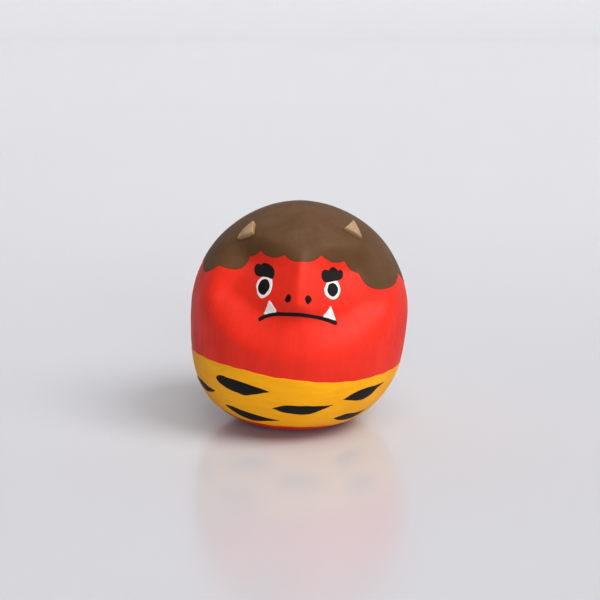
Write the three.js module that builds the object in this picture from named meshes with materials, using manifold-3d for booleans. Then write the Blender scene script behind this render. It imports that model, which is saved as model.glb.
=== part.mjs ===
// A hollow papier-mache daruma doll with a horned, scowling face.
// A clay weight in the bottom makes it rock upright again.
// Millimetres, +Z up. The doll faces -Y, and left and right are as seen from the front.
// The origin is the middle of the flat foot that the doll stands on.
//
// Places on the body are written as [longitude, latitude] in degrees about the body's centre:
// longitude 0 is the middle of the face and grows to the right, latitude 90 is the top of the head.

import * as THREE from "three";
import Module from "manifold-3d";
import { mergeVertices } from "three/addons/utils/BufferGeometryUtils.js";

const wasm = await Module();
wasm.setup();

// Driving dimensions of the body, in millimetres and degrees.
const BODY_WIDTH = 65;
const CROWN_RISE = 32.3; // body centre to the top of the head
const BELLY_DROP = 35.6; // body centre to the bottom pole
const CROWN_FULLNESS = 1.97; // superellipse exponents: 2 is round, more is squarer
const BELLY_FULLNESS = 2.72;
const BASE_DRIFT = 2.4; // the hand-formed bottom sits this far left of the head
const LEAN = 4.5; // degrees that the whole doll leans to the right
const BOTTOM_PRESSED = 0.9; // how much of the round bottom the flat foot takes off

// The pressed-in face: a flat either side of a crisp nose ridge, and a valley under it for the mouth.
const NOSE_LONGITUDE = -2;
const NOSE_SLOPE = 32; // how far outward the flat on each side of the nose faces
const NOSE_ROUNDING = 2.5;
const NOSE_FOOT_LOW = 6; // latitudes between which the ridge fades into the valley
const NOSE_FOOT_HIGH = 16;
const MOUTH_ROUNDING = 13;
const HOLLOW_EDGE = 46; // from here the flat rises to the crest of the cheek at the half angle
const FACE_HALF_ANGLE = 67;
const BROW_TOP = 50;
const BROW_FOOT = 36;
const CHIN_LOW = -15;
const CHIN_HIGH = 9;
const CHIN_CURVE = 22;

// The papier-mache build.
const WALL = 1.6;
const SEAM_GAP = 0.3; // between the front and rear shells
const STRIP_WIDTH = 6; // the paper strip pasted round the joint
const STRIP_THICKNESS = 0.5;
const OPENING_RADIUS = 7.5; // the hole in the bottom that the clay goes in through
const PATCH_THICKNESS = 0.5; // the paper disc that closes it and covers the pressed flat
const WEIGHT_HEIGHT = 8.5; // top of the clay at the wall, above the floor
const WEIGHT_DOME = 1.8; // how much higher the clay stands in the middle
const GLUE_FILLET = 3; // leg of the paste fillet between clay and wall

// Paint lies on the body in thin raised layers.
const PAINT_THICKNESS = 0.25;
const MOUTH_WIDTH = 1.1;
const HORN_EDGE = 0.75; // height of each little horn above the body at its root's corners
const HORN_RIDGE = 1.2; // in the middle of its root
const HORN_TIP = 1.8;

// Clearances.
const LAYER_GAP = 0.1; // between a layer and what it lies on
const FIT_GAP = 0.3; // between the rigid pieces inside

const rad = THREE.MathUtils.degToRad;
const BODY_COLUMNS = [18, 16]; // facets round the face side, and round the back
const FACE_SIDE = 72; // the face columns reach this far round
const BODY_ROWS = [-78, -66, -54, -42, -30, -20, -12, -5, 2, 9, 16, 23, 30, 37, 44, 52, 60, 70, 80];
const REACH = 1.6; // a cutting wedge ends this many body radii out

const finishes = {
  red: finish(0xe23426, 0.62),
  hair: finish(0x6b4f38, 0.66),
  yellow: finish(0xf6a91b, 0.6),
  black: finish(0x1f1a20, 0.6),
  white: finish(0xf4eeea, 0.6),
  horn: finish(0xbf9a72, 0.65),
  paper: finish(0xd8c9a8, 0.9),
  clay: finish(0xa98b6b, 0.95),
  paste: finish(0xe6dcc2, 0.5),
};

function finish(color, roughness) {
  return new THREE.MeshStandardMaterial({ color, roughness, metalness: 0 });
}

// Rises smoothly from 0 at `from` to 1 at `to`, which may be the lower of the two.
function ease(from, to, x) {
  return THREE.MathUtils.smoothstep((x - from) / (to - from), 0, 1);
}

// How far the face is pressed in at a place, in millimetres.
function faceDepth(lon, lat) {
  const side = Math.abs(lon - NOSE_LONGITUDE);
  if (side >= FACE_HALF_ANGLE) return 0;
  const besideNose = Math.hypot(side, NOSE_ROUNDING) - NOSE_ROUNDING;
  const underNose = Math.hypot(side, MOUTH_ROUNDING);
  const fromNose = THREE.MathUtils.lerp(underNose, besideNose, ease(NOSE_FOOT_LOW, NOSE_FOOT_HIGH, lat));
  const flat = 1 - Math.cos(rad(NOSE_SLOPE)) / Math.cos(rad(fromNose - NOSE_SLOPE));
  const hollow = (BODY_WIDTH / 2) * flat * ease(FACE_HALF_ANGLE, HOLLOW_EDGE, side);
  const underBrow = ease(BROW_TOP, BROW_FOOT, lat);
  const overChin = ease(CHIN_LOW, CHIN_HIGH, lat - CHIN_CURVE * (side / FACE_HALF_ANGLE) ** 2);
  return hollow * underBrow * overChin;
}

// The body's surface, moved outward by `offset`, before the doll leans: an egg with its bottom drifted left.
// Every offset of one place lies on one straight line from the body's centre.
function uprightPoint(lon, lat, offset) {
  const across = Math.abs(Math.cos(rad(lat)));
  const up = Math.sin(rad(lat));
  const [rise, fullness] = lat >= 0 ? [CROWN_RISE, CROWN_FULLNESS] : [BELLY_DROP, BELLY_FULLNESS];
  const sum = (across / (BODY_WIDTH / 2)) ** fullness + (Math.abs(up) / rise) ** fullness;
  const radius = sum ** (-1 / fullness);
  const turn = THREE.MathUtils.euclideanModulo(lon + 180, 360) - 180;
  const drop = Math.max(0, -radius * up) / BELLY_DROP;
  const point = new THREE.Vector3(
    radius * across * Math.sin(rad(turn)) - BASE_DRIFT * drop ** 3,
    -radius * across * Math.cos(rad(turn)),
    radius * up,
  );
  return point.multiplyScalar((radius - faceDepth(turn, lat) + offset) / radius);
}

const leaning = new THREE.Matrix4().makeRotationY(rad(LEAN));
const { standing, footRadius } = stance();

function leaningPoint(lon, lat, offset) {
  return uprightPoint(lon, lat, offset).applyMatrix4(leaning);
}

// Where the body's centre stands and how wide its foot is: the bottom sinks by BOTTOM_PRESSED,
// and the flat that this leaves is centred on the origin.
function stance() {
  const step = 0.25;
  const profile = [];
  for (let lat = -50; lat > -90; lat -= step) profile.push(leaningPoint(-90, lat, 0));
  for (let lat = -90; lat <= -50; lat += step) profile.push(leaningPoint(90, lat, 0));
  const lowest = Math.min(...profile.map((p) => p.z));
  const flat = profile.filter((p) => p.z < lowest + BOTTOM_PRESSED).map((p) => p.x);
  const [left, right] = [Math.min(...flat), Math.max(...flat)];
  const centre = new THREE.Vector3(-(left + right) / 2, 0, -lowest - BOTTOM_PRESSED);
  return { standing: centre, footRadius: (right - left) / 2 };
}

function bodyPoint(lon, lat, offset = 0) {
  return leaningPoint(lon, lat, offset).add(standing);
}

// A solid from a list of Vector3 and a list of triangles.
function solidFrom(points, triangles) {
  const mesh = new wasm.Mesh({
    numProp: 3,
    vertProperties: new Float32Array(points.flatMap((p) => p.toArray())),
    triVerts: new Uint32Array(triangles.flat()),
  });
  return new wasm.Manifold(mesh);
}

// A solid from a three.js geometry.
function solidOf(geometry) {
  geometry.deleteAttribute("normal");
  geometry.deleteAttribute("uv");
  const merged = mergeVertices(geometry, 1e-4);
  const mesh = new wasm.Mesh({
    numProp: 3,
    vertProperties: merged.attributes.position.array,
    triVerts: new Uint32Array(merged.index.array),
  });
  return new wasm.Manifold(mesh);
}

function bodyLongitudes() {
  const [faceColumns, backColumns] = BODY_COLUMNS;
  const turns = [];
  for (let i = 0; i < faceColumns; i++) turns.push(-FACE_SIDE + (2 * FACE_SIDE * i) / faceColumns);
  for (let i = 0; i < backColumns; i++) turns.push(FACE_SIDE + ((360 - 2 * FACE_SIDE) * i) / backColumns);
  return turns.map((turn) => turn + NOSE_LONGITUDE);
}

// The whole body as one solid, its surface moved outward by `offset`.
function bodySolid(offset) {
  const turns = bodyLongitudes();
  const n = turns.length;
  const points = BODY_ROWS.flatMap((lat) => turns.map((lon) => bodyPoint(lon, lat, offset)));
  const bottom = points.push(bodyPoint(0, -90, offset)) - 1;
  const top = points.push(bodyPoint(0, 90, offset)) - 1;
  const lastRow = (BODY_ROWS.length - 1) * n;
  const triangles = [];
  for (let i = 0; i < n; i++) {
    const j = (i + 1) % n;
    triangles.push([bottom, j, i], [top, lastRow + i, lastRow + j]);
    for (let row = 0; row < lastRow; row += n) {
      triangles.push([row + i, row + j, row + n + j], [row + i, row + n + j, row + n + i]);
    }
  }
  return solidFrom(points, triangles);
}

// A layer that follows the body between two offsets from its surface.
function layer(from, to) {
  return bodySolid(to).subtract(bodySolid(from));
}

// A place on the body raised to its own height, or else well past the surface.
function raisedPoint([lon, lat, height = (REACH - 1) * CROWN_RISE]) {
  return bodyPoint(lon, lat, height);
}

// Everything behind an outline drawn on the body, from the body's centre out to the outline's raised points.
function wedge(outline) {
  const clockwise = THREE.ShapeUtils.isClockWise(outline.map(pair));
  const anticlockwise = clockwise ? outline.toReversed() : outline;
  const flat = anticlockwise.map(pair);
  const points = anticlockwise.map(raisedPoint);
  const triangles = THREE.ShapeUtils.triangulateShape(flat, []);
  const centre = points.push(standing.clone()) - 1;
  flat.forEach((_, i) => triangles.push([(i + 1) % flat.length, i, centre]));
  return solidFrom(points, triangles);
}

// Everything above (side 1) or below (side -1) a line drawn all the way round the body.
function sideOf(edge, side) {
  const points = edge.map(raisedPoint);
  const far = new THREE.Vector3(0, 0, side * 4 * BODY_WIDTH).add(standing);
  const [upper, lower] = side > 0 ? [far, standing.clone()] : [standing.clone(), far];
  const over = points.push(upper) - 1;
  const under = points.push(lower) - 1;
  const triangles = [];
  edge.forEach((_, i) => {
    const j = (i + 1) % edge.length;
    triangles.push([i, j, over], [j, i, under]);
  });
  return solidFrom(points, triangles);
}

// A box across the whole doll between two heights, or between two places front to back.
function slab(axis, low, high) {
  const size = new THREE.Vector3(4 * BODY_WIDTH, 4 * BODY_WIDTH, 4 * BODY_WIDTH);
  size[axis] = high - low;
  const box = new THREE.BoxGeometry(size.x, size.y, size.z);
  const middle = new THREE.Vector3();
  middle[axis] = (low + high) / 2;
  return solidOf(box.translate(middle.x, middle.y, middle.z));
}

// A turned solid about the Z axis from [radius, height] points, listed from the bottom up.
function turned(profile) {
  const points = profile.map(([radius, height]) => new THREE.Vector2(radius, height));
  return solidOf(new THREE.LatheGeometry(points, 36).rotateX(Math.PI / 2));
}

function pair(point) {
  return new THREE.Vector2(point[0], point[1]);
}

// A closed outline that runs smoothly through a few points.
function smoothLoop(points, steps) {
  const curve = new THREE.CatmullRomCurve3(
    points.map(([lon, lat]) => new THREE.Vector3(lon, lat, 0)),
    true,
  );
  return curve.getPoints(steps).slice(0, -1).map((p) => [p.x, p.y]);
}

// A single brush mark: pointed at its left and right tips, swelling through the points between.
function brushMark({ left, right, over, under }) {
  const steps = 7;
  const lower = new THREE.SplineCurve([left, ...under, right].map(pair)).getPoints(steps).slice(0, -1);
  const upper = new THREE.SplineCurve([right, ...over, left].map(pair)).getPoints(steps).slice(0, -1);
  return [...lower, ...upper].map((p) => [p.x, p.y]);
}

// A stroke of even width along a curve, with its ends drawn in.
function stroke(points, width) {
  const curve = new THREE.SplineCurve(points.map(pair));
  const steps = 14;
  const millimetresPerDegree = rad(1) * (BODY_WIDTH / 2);
  const sides = [[], []];
  for (let i = 0; i <= steps; i++) {
    const t = i / steps;
    const p = curve.getPoint(t);
    const along = curve.getTangent(t);
    const half = (width / 2 / millimetresPerDegree) * (0.6 + 0.4 * ease(0, 0.08, Math.min(t, 1 - t)));
    sides[0].push([p.x + along.y * half, p.y - along.x * half]);
    sides[1].unshift([p.x - along.y * half, p.y + along.x * half]);
  }
  return sides.flat();
}

// The scalloped hem of the hair: cusps at the tops of the notches, and the point that pulls each lobe down.
function hairHem() {
  const front = [
    { cusp: [-88, 27], pull: [-72, 13] },
    { cusp: [-60.9, 27.1], pull: [-46.5, 27] },
    { cusp: [-46.2, 39.8], pull: [-41, 40.3] },
    { cusp: [-35.6, 43.3], pull: [-26, 39.3] },
    { cusp: [-15.2, 42.6], pull: [-1.5, 33.5] },
    { cusp: [11.8, 43.9], pull: [20.5, 40.2] },
    { cusp: [32, 41.9], pull: [36.6, 37.8] },
    { cusp: [44, 34.5], pull: [46, 14] },
  ];
  const [backStart, backEnd] = [78, 272];
  const backLobes = 8;
  const backLobe = (backEnd - backStart) / backLobes;
  const backHem = (lon) => 27 - 10 * Math.sin(rad(((lon - backStart) / (backEnd - backStart)) * 180));
  const back = Array.from({ length: backLobes }, (_, i) => {
    const lon = backStart + i * backLobe;
    const dip = lon + backLobe / 2;
    return { cusp: [lon, backHem(lon)], pull: [dip, backHem(dip) - 13] };
  });
  const lobes = [...front, ...back];
  return lobes.flatMap(({ cusp, pull }, i) => {
    const [lon, lat] = lobes[(i + 1) % lobes.length].cusp;
    const next = [i + 1 < lobes.length ? lon : lon + 360, lat];
    const curve = new THREE.QuadraticBezierCurve(pair(cusp), pair(pull), pair(next));
    return curve.getPoints(6).slice(0, -1).map((p) => [p.x, p.y]);
  });
}

// A gently waving line right round the body, through a few places.
function waistLine(places) {
  const steps = 40;
  const [first] = places;
  const curve = new THREE.SplineCurve([...places, [first[0] + 360, first[1]]].map(pair));
  return curve.getPoints(steps).slice(0, -1).map((p) => [p.x, p.y]);
}

const clothTop = waistLine([
  [-83, -23.8], [-72, -22.6], [-58, -21.8], [-44, -21.5], [-30, -21.2], [-17, -22], [2, -22.7],
  [20, -23.5], [38, -23.2], [52, -22.4], [66, -22], [120, -22], [175, -22.5], [225, -24],
]);
const clothBottom = waistLine([
  [-52, -52.6], [-42, -55], [-28, -54.8], [-10, -55], [9, -53.8], [30, -53.6], [45, -54], [75, -56.5],
  [130, -55], [190, -53], [260, -51.5],
]);

// The tiger stripes, each with its two tips and the points that it swells through.
const frontStripes = [
  {
    left: [-82, -37.5],
    right: [-50.4, -37.6],
    over: [[-58, -37.2], [-68, -35.8]],
    under: [[-66, -41.2], [-56.5, -40.1]],
  },
  {
    left: [-47.9, -29.8],
    right: [-12.2, -30.4],
    over: [[-26, -28.1], [-37.7, -27.4], [-45.2, -27.8]],
    under: [[-46.2, -31.6], [-41, -33.3], [-27.9, -34.9], [-20.5, -32.7]],
  },
  {
    left: [-47, -44.7],
    right: [-5.2, -48],
    over: [[-14.1, -47.2], [-25.3, -45.7], [-38.5, -44.2]],
    under: [[-40.5, -48], [-33, -51.2], [-24.5, -52.2], [-14.3, -50.3]],
  },
  {
    left: [-11.2, -39.6],
    right: [24.9, -35.6],
    over: [[16.1, -36.2], [5.1, -36.4], [-4, -37]],
    under: [[-4.5, -41.4], [3.5, -42.3], [10.7, -41.7], [18.2, -38.6]],
  },
  {
    left: [28.8, -33.1],
    right: [60.3, -27.4],
    over: [[52.6, -27.9], [42.3, -28.3], [34.9, -30]],
    under: [[35.2, -34.3], [43.5, -35.1], [49.7, -33.2], [54, -29.6]],
  },
  {
    left: [29.5, -45.6],
    right: [57.5, -43.6],
    over: [[47, -43.9], [38, -43.2], [33, -44.4]],
    under: [[35, -47.7], [43, -49.2], [51, -48.4]],
  },
];

// Round the back the stripes go on in the same two staggered rows.
function backStripes() {
  const places = [
    [95, -39.5], [115, -31], [135, -43], [155, -32], [175, -43.5],
    [195, -31], [215, -42.5], [235, -33], [255, -45],
  ];
  const swell = 3.1;
  const half = 15.5;
  return places.map(([lon, lat], i) => {
    const tilt = i % 3 ? 1.4 : -1.1;
    return {
      left: [lon - half, lat - tilt],
      right: [lon + half, lat + tilt],
      over: [[lon + half * 0.35, lat + swell * 0.85], [lon - half * 0.4, lat + swell * 0.6]],
      under: [[lon - half * 0.35, lat - swell], [lon + half * 0.4, lat - swell * 0.7]],
    };
  });
}

const features = {
  brow_left: smoothLoop(
    [
      [-39.1, 34.3], [-39.2, 36.4], [-37, 37.4], [-34.7, 37.1], [-32.7, 38.2], [-28.8, 38.3], [-24.9, 37.2],
      [-21.5, 34.7], [-20, 31.7], [-21.3, 29.8], [-24.7, 30.3], [-29.6, 30.4], [-35.4, 30.6], [-37.8, 32.3],
    ],
    30,
  ),
  brow_right: smoothLoop(
    [
      [11.9, 33.8], [13.2, 36.4], [15.8, 37.6], [18.4, 37.4], [19.9, 38.8], [22.5, 39.4], [25, 38.7],
      [26.4, 37.7], [28.9, 38.2], [30.8, 37.1], [30.4, 34.8], [28.4, 33], [24.9, 32.3], [20.2, 31.5],
      [16.1, 30.6], [13.3, 31],
    ],
    34,
  ),
  eye_white_left: smoothLoop(
    [
      [-29.1, 28.8], [-31.9, 26.8], [-32.2, 24], [-30.8, 21], [-28.5, 18.1], [-25.3, 16.7], [-22.2, 18.4],
      [-20.1, 21], [-19.6, 24.1], [-20.3, 26.8], [-22, 28.4], [-25.1, 29.2],
    ],
    26,
  ),
  eye_white_right: smoothLoop(
    [
      [16.2, 29.2], [14.4, 27.3], [13.4, 25], [14.2, 22.5], [16.1, 20.8], [19.1, 19.7], [22, 20.3],
      [24.5, 22.5], [25.9, 25.2], [25.8, 28], [24.2, 30.3], [20.4, 30.2],
    ],
    26,
  ),
  pupil_left: smoothLoop(
    [
      [-28.7, 27.3], [-26.9, 28.2], [-24.5, 28], [-22.5, 26.5], [-21.3, 24.1], [-22, 21.6], [-23.8, 19.3],
      [-26, 18.9], [-28.5, 20.2], [-30.2, 22.7], [-30, 25.4],
    ],
    24,
  ),
  pupil_right: smoothLoop(
    [
      [18.3, 28.5], [21, 29.1], [23.1, 28.1], [24, 26.1], [23.2, 23.8], [21.6, 22.2], [19.4, 21.3],
      [17.2, 22.3], [15.8, 24], [15.8, 26.1], [16.7, 27.5],
    ],
    24,
  ),
  nostril_left: smoothLoop(
    [[-7.5, 21], [-6.2, 19.8], [-6, 18.2], [-8.1, 16.4], [-9.6, 17.3], [-9.3, 19]],
    14,
  ),
  nostril_right: smoothLoop([[2.8, 21.2], [4.2, 20.7], [5.4, 19.1], [3.3, 16.3], [2.1, 17.3], [1.4, 18.8]], 14),
  mouth_line: stroke(
    [
      [-24.8, 4.2], [-21.5, 6.6], [-15.8, 8.9], [-8.2, 10],
      [0.1, 10.5], [7.7, 9.7], [14.9, 8.3], [22.2, 5.8],
    ],
    MOUTH_WIDTH,
  ),
  fang_left: [
    [-22.1, 8.7], [-14.5, 11.1], [-16, 13.2], [-17.9, 15.2], [-19.6, 16.2], [-20.3, 15.4], [-20.8, 13.2],
  ],
  fang_right: [[13.4, 10.5], [20.8, 8.3], [20, 11.7], [18.7, 14.2], [17.5, 15.9], [16.3, 14.2], [14.8, 12.2]],
};

// Each horn rises from a short root to a tip that points up and inward.
const horns = {
  horn_left: { root: [[-59.5, 43.6], [-45.4, 49.5]], tip: [-54.3, 55.8] },
  horn_right: { root: [[38.6, 58.9], [51.4, 50.9]], tip: [57.1, 62] },
};

const doll = new THREE.Group();

function add(name, solid, material) {
  const { vertProperties, triVerts } = solid.getMesh();
  const geometry = new THREE.BufferGeometry();
  geometry.setAttribute("position", new THREE.BufferAttribute(vertProperties, 3));
  geometry.setIndex(new THREE.BufferAttribute(triVerts, 1));
  geometry.computeVertexNormals();
  const mesh = new THREE.Mesh(geometry, material);
  mesh.name = name;
  doll.add(mesh);
}

// The two moulded halves, their lips cut back under the strip, with the bottom open for the clay.
function addShells() {
  const footTop = PATCH_THICKNESS + LAYER_GAP;
  const opening = turned([[0, -WALL], [OPENING_RADIUS, -WALL], [OPENING_RADIUS, 2 * WALL], [0, 2 * WALL]]);
  const halfLip = STRIP_WIDTH / 2 + LAYER_GAP;
  const rebate = layer(-STRIP_THICKNESS - LAYER_GAP, 1).intersect(slab("y", -halfLip, halfLip));
  const aboveFoot = slab("z", footTop, 2 * BODY_WIDTH);
  const shell = layer(-WALL, 0).subtract(opening).subtract(rebate).intersect(aboveFoot);
  add("front_shell", shell.intersect(slab("y", -BODY_WIDTH, -SEAM_GAP / 2)), finishes.red);
  add("rear_shell", shell.intersect(slab("y", SEAM_GAP / 2, BODY_WIDTH)), finishes.red);
  const strip = layer(-STRIP_THICKNESS, 0).intersect(slab("y", -STRIP_WIDTH / 2, STRIP_WIDTH / 2));
  add("seam_strip", strip.subtract(opening).intersect(aboveFoot), finishes.red);
}

// What closes and weights the bottom.
function addFootAndWeight() {
  add(
    "base_patch",
    turned([[0, 0], [footRadius, 0], [footRadius, PATCH_THICKNESS], [0, PATCH_THICKNESS]]),
    finishes.red,
  );
  const hollow = bodySolid(-WALL - FIT_GAP);
  const edge = BODY_WIDTH / 2;
  const clay = turned([
    [0, -WALL],
    [edge, -WALL],
    [edge, WEIGHT_HEIGHT],
    [edge * 0.6, WEIGHT_HEIGHT + WEIGHT_DOME * 0.7],
    [edge * 0.3, WEIGHT_HEIGHT + WEIGHT_DOME * 0.95],
    [0, WEIGHT_HEIGHT + WEIGHT_DOME],
  ]);
  add("clay_weight", hollow.intersect(clay), finishes.clay);
  const seat = clay.translate([0, 0, FIT_GAP]);
  const room = bodySolid(-WALL - FIT_GAP - GLUE_FILLET);
  const top = WEIGHT_HEIGHT + FIT_GAP + GLUE_FILLET;
  add("glue_fillet", hollow.subtract(room).subtract(seat).intersect(slab("z", 0, top)), finishes.paste);
}

// The painted layers: the first on the body, the second on the first.
function addPaint() {
  const firstBase = LAYER_GAP;
  const secondBase = firstBase + PAINT_THICKNESS + LAYER_GAP;
  const firstCoat = layer(firstBase, firstBase + PAINT_THICKNESS);
  const secondCoat = layer(secondBase, secondBase + PAINT_THICKNESS);

  add("hair_paint", firstCoat.intersect(sideOf(hairHem(), 1)), finishes.hair);
  const cloth = sideOf(clothTop, -1).subtract(sideOf(clothBottom, -1));
  add("loincloth_paint", firstCoat.intersect(cloth), finishes.yellow);
  [...frontStripes, ...backStripes()].forEach((stripe, i) => {
    const number = String(i + 1).padStart(2, "0");
    add("tiger_stripe_" + number, secondCoat.intersect(wedge(brushMark(stripe))), finishes.black);
  });

  const coats = {
    brow: [firstCoat, finishes.black],
    eye_white: [firstCoat, finishes.white],
    pupil: [secondCoat, finishes.black],
    nostril: [firstCoat, finishes.black],
    mouth: [firstCoat, finishes.black],
    fang: [firstCoat, finishes.white],
  };
  for (const [name, outline] of Object.entries(features)) {
    const [coat, material] = coats[name.replace(/_(left|right|line)$/, "")];
    add(name, coat.intersect(wedge(outline)), material);
  }
}

// The horns stand on the hair, each with a ridge from the middle of its root to its tip.
function addHorns() {
  const hairTop = bodySolid(PAINT_THICKNESS + 2 * LAYER_GAP);
  for (const [name, { root, tip }] of Object.entries(horns)) {
    const [left, right] = root.map((place) => [...place, HORN_EDGE]);
    const middle = [(left[0] + right[0]) / 2, (left[1] + right[1]) / 2, HORN_RIDGE];
    const point = [...tip, HORN_TIP];
    const whole = wedge([left, middle, point]).add(wedge([middle, right, point]));
    add(name, whole.subtract(hairTop), finishes.horn);
  }
}

addShells();
addFootAndWeight();
addPaint();
addHorns();

export default doll;
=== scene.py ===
# %% [markdown]
# # A papier-mache daruma, shaped and painted
# This lesson builds a small hollow daruma doll. The real one is made by pasting paper over a carved form,
# cutting it off in two halves, joining them with a strip of paper and weighting the bottom with clay. It is
# then brushed with layers of thick matte paint, each of which has a real edge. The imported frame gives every
# piece's place and size. Here each one gets its fine shape and its finish.

# %% Load the frame
import math

import bmesh
import bpy
import numpy as np
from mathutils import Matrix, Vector
from mathutils.geometry import delaunay_2d_cdt
from mathutils.kdtree import KDTree


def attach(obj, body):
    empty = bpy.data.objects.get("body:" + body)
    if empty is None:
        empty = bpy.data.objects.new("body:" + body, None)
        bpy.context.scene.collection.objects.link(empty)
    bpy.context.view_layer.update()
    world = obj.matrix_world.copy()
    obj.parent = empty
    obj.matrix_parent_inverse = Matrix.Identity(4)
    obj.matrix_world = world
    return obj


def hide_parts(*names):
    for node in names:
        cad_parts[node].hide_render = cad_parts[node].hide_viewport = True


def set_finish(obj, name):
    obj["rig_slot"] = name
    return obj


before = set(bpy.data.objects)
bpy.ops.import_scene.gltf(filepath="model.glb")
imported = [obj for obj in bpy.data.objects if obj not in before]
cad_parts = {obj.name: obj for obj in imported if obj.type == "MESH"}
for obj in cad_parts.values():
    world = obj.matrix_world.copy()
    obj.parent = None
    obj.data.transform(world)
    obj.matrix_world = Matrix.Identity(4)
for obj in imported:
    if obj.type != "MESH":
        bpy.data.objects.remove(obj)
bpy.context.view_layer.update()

# %% [markdown]
# ## The shape of the body
# The body could be sculpted by hand, or lathed and then dented. Both would leave the paint with no simple
# rule to follow. A formula is better here: every place on the doll has a longitude (0 in the middle of the
# face, growing to the right as seen from the front) and a latitude (90 at the crown), and the formula turns
# that into a point in space. Shell, strip and paint all ask the same formula, so they fit each other.

# %% Driving sizes, in millimetres and degrees
MM = 0.001
HALF_WIDTH = 32.5
CROWN_RISE = 32.3
BELLY_DROP = 35.6
CROWN_FULLNESS = 1.97
BELLY_FULLNESS = 2.72
BASE_DRIFT = 2.4
LEAN = math.radians(4.5)
BOTTOM_PRESSED = 0.9
WALL = 1.6
FOOT_TOP = 0.6


def ease(start, end, x):
    """Rises smoothly from 0 at start to 1 at end, which may be the lower of the two."""
    t = np.clip((x - start) / (end - start), 0, 1)
    return t * t * (3 - 2 * t)


# %% The egg, with its bottom drifted to the left
def egg(lon, lat):
    """Points of the smooth upright egg about its own centre, and their distance from it before the drift."""
    turn, rise = np.radians(lon), np.radians(lat)
    across, up = np.abs(np.cos(rise)), np.sin(rise)
    height = np.where(lat >= 0, CROWN_RISE, BELLY_DROP)
    fullness = np.where(lat >= 0, CROWN_FULLNESS, BELLY_FULLNESS)
    radius = ((across / HALF_WIDTH) ** fullness + (np.abs(up) / height) ** fullness) ** (-1 / fullness)
    drop = np.clip(-radius * up / BELLY_DROP, 0, None)
    x = radius * across * np.sin(turn) - BASE_DRIFT * drop**3
    return np.stack([x, -radius * across * np.cos(turn), radius * up], -1), radius


# %% [markdown]
# ### The pressed-in face
# The mould pushes two hollows into the front, with the ridge of the nose between them. A round dent would
# leave a soft, wide nose. Here each side is a flat that faces 32 degrees outward, so that the two meet in a
# crisp ridge, and it ends in a rounded wall under the cheek's crest. At the foot of the nose the ridge stops,
# and the hollows run together into one valley that holds the mouth and rises again to the chin.

# %% The hollows of the face
NOSE_LONGITUDE = -2
NOSE_SLOPE = 32
NOSE_ROUNDING = 2.5
MOUTH_ROUNDING = 13
FACE_HALF_ANGLE = 67
HOLLOW_EDGE = 46
NOSE_FOOT = (6, 16)  # latitudes between which the ridge of the nose grows out of the valley
BROW_WALL = (50, 36)  # latitudes between which the hollows reach their full depth under the hair
CHIN = (-15, 9)  # latitudes between which the valley sinks from the chin
CHIN_CURVE = 22  # degrees by which the chin's edge climbs toward the cheeks


def wrapped(lon):
    return (np.asarray(lon, float) + 180) % 360 - 180


def face_depth(lon, lat):
    """How far the face is pressed in: a flat on each side of the nose, up to the cheek's inner wall."""
    side = np.abs(wrapped(lon - NOSE_LONGITUDE))
    beside_nose = np.hypot(side, NOSE_ROUNDING) - NOSE_ROUNDING
    under_nose = np.hypot(side, MOUTH_ROUNDING)
    from_nose = under_nose + (beside_nose - under_nose) * ease(*NOSE_FOOT, lat)
    slope = math.radians(NOSE_SLOPE)
    off_flat = np.radians(np.minimum(from_nose, 80)) - slope
    flat = HALF_WIDTH * (1 - math.cos(slope) / np.cos(off_flat))
    chin = ease(*CHIN, lat - CHIN_CURVE * (side / FACE_HALF_ANGLE) ** 2)
    return flat * ease(FACE_HALF_ANGLE, HOLLOW_EDGE, side) * ease(*BROW_WALL, lat) * chin


# %% [markdown]
# ### Lumps from hand pasting
# Pasted paper dries with low, soft lumps, and they catch the light. A noise texture in the material would
# not move the outline, so the lumps are real: a sum of a few smooth waves that run through the body in
# random directions, with a fixed seed so that the doll is the same every time.

# %% Waves that make the lumps
def wave_set(seed, count, wavelength):
    """Random directions and phases for waves of about this wavelength, in millimetres."""
    draw = np.random.default_rng(seed)
    ways = draw.normal(size=(count, 3))
    ways /= np.linalg.norm(ways, axis=1)[:, None]
    lengths = wavelength * draw.uniform(0.75, 1.35, count)
    return ways * (2 * math.pi / lengths)[:, None], draw.uniform(0, 2 * math.pi, count)


BROAD_LUMPS = wave_set(3, 14, 21.0)
SMALL_LUMPS = wave_set(8, 18, 7.0)
BROAD_HEIGHT = 0.06
SMALL_HEIGHT = 0.018


def waves(points, wave):
    ways, phases = wave
    return np.sin(points @ ways.T + phases).sum(-1) / math.sqrt(len(phases))


def lumps(points):
    return BROAD_HEIGHT * waves(points, BROAD_LUMPS) + SMALL_HEIGHT * waves(points, SMALL_LUMPS)


# %% [markdown]
# ### Standing the egg up
# The egg is tipped by its lean, dropped until its bottom is pressed flat, and slid sideways until that flat
# is centred on the frame's origin. These are the frame's own rules, so the new pieces land on the old ones.

# %% From longitude and latitude to a place in the frame
def leaned(points):
    c, s = math.cos(LEAN), math.sin(LEAN)
    x, y, z = points[..., 0], points[..., 1], points[..., 2]
    return np.stack([c * x + s * z, y, c * z - s * x], -1)


def stance():
    """Where the body's centre stands, and the half width of its flat foot."""
    sweep = np.arange(-90, -50 + 0.25, 0.25)
    sides = [leaned(egg(np.full_like(sweep, side), sweep)[0]) for side in (-90.0, 90.0)]
    profile = np.concatenate(sides)
    lowest = profile[:, 2].min()
    flat = profile[profile[:, 2] < lowest + BOTTOM_PRESSED][:, 0]
    middle = (flat.min() + flat.max()) / 2
    return np.array([-middle, 0, -lowest - BOTTOM_PRESSED]), (flat.max() - flat.min()) / 2


CENTRE, FOOT_RADIUS = stance()


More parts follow.
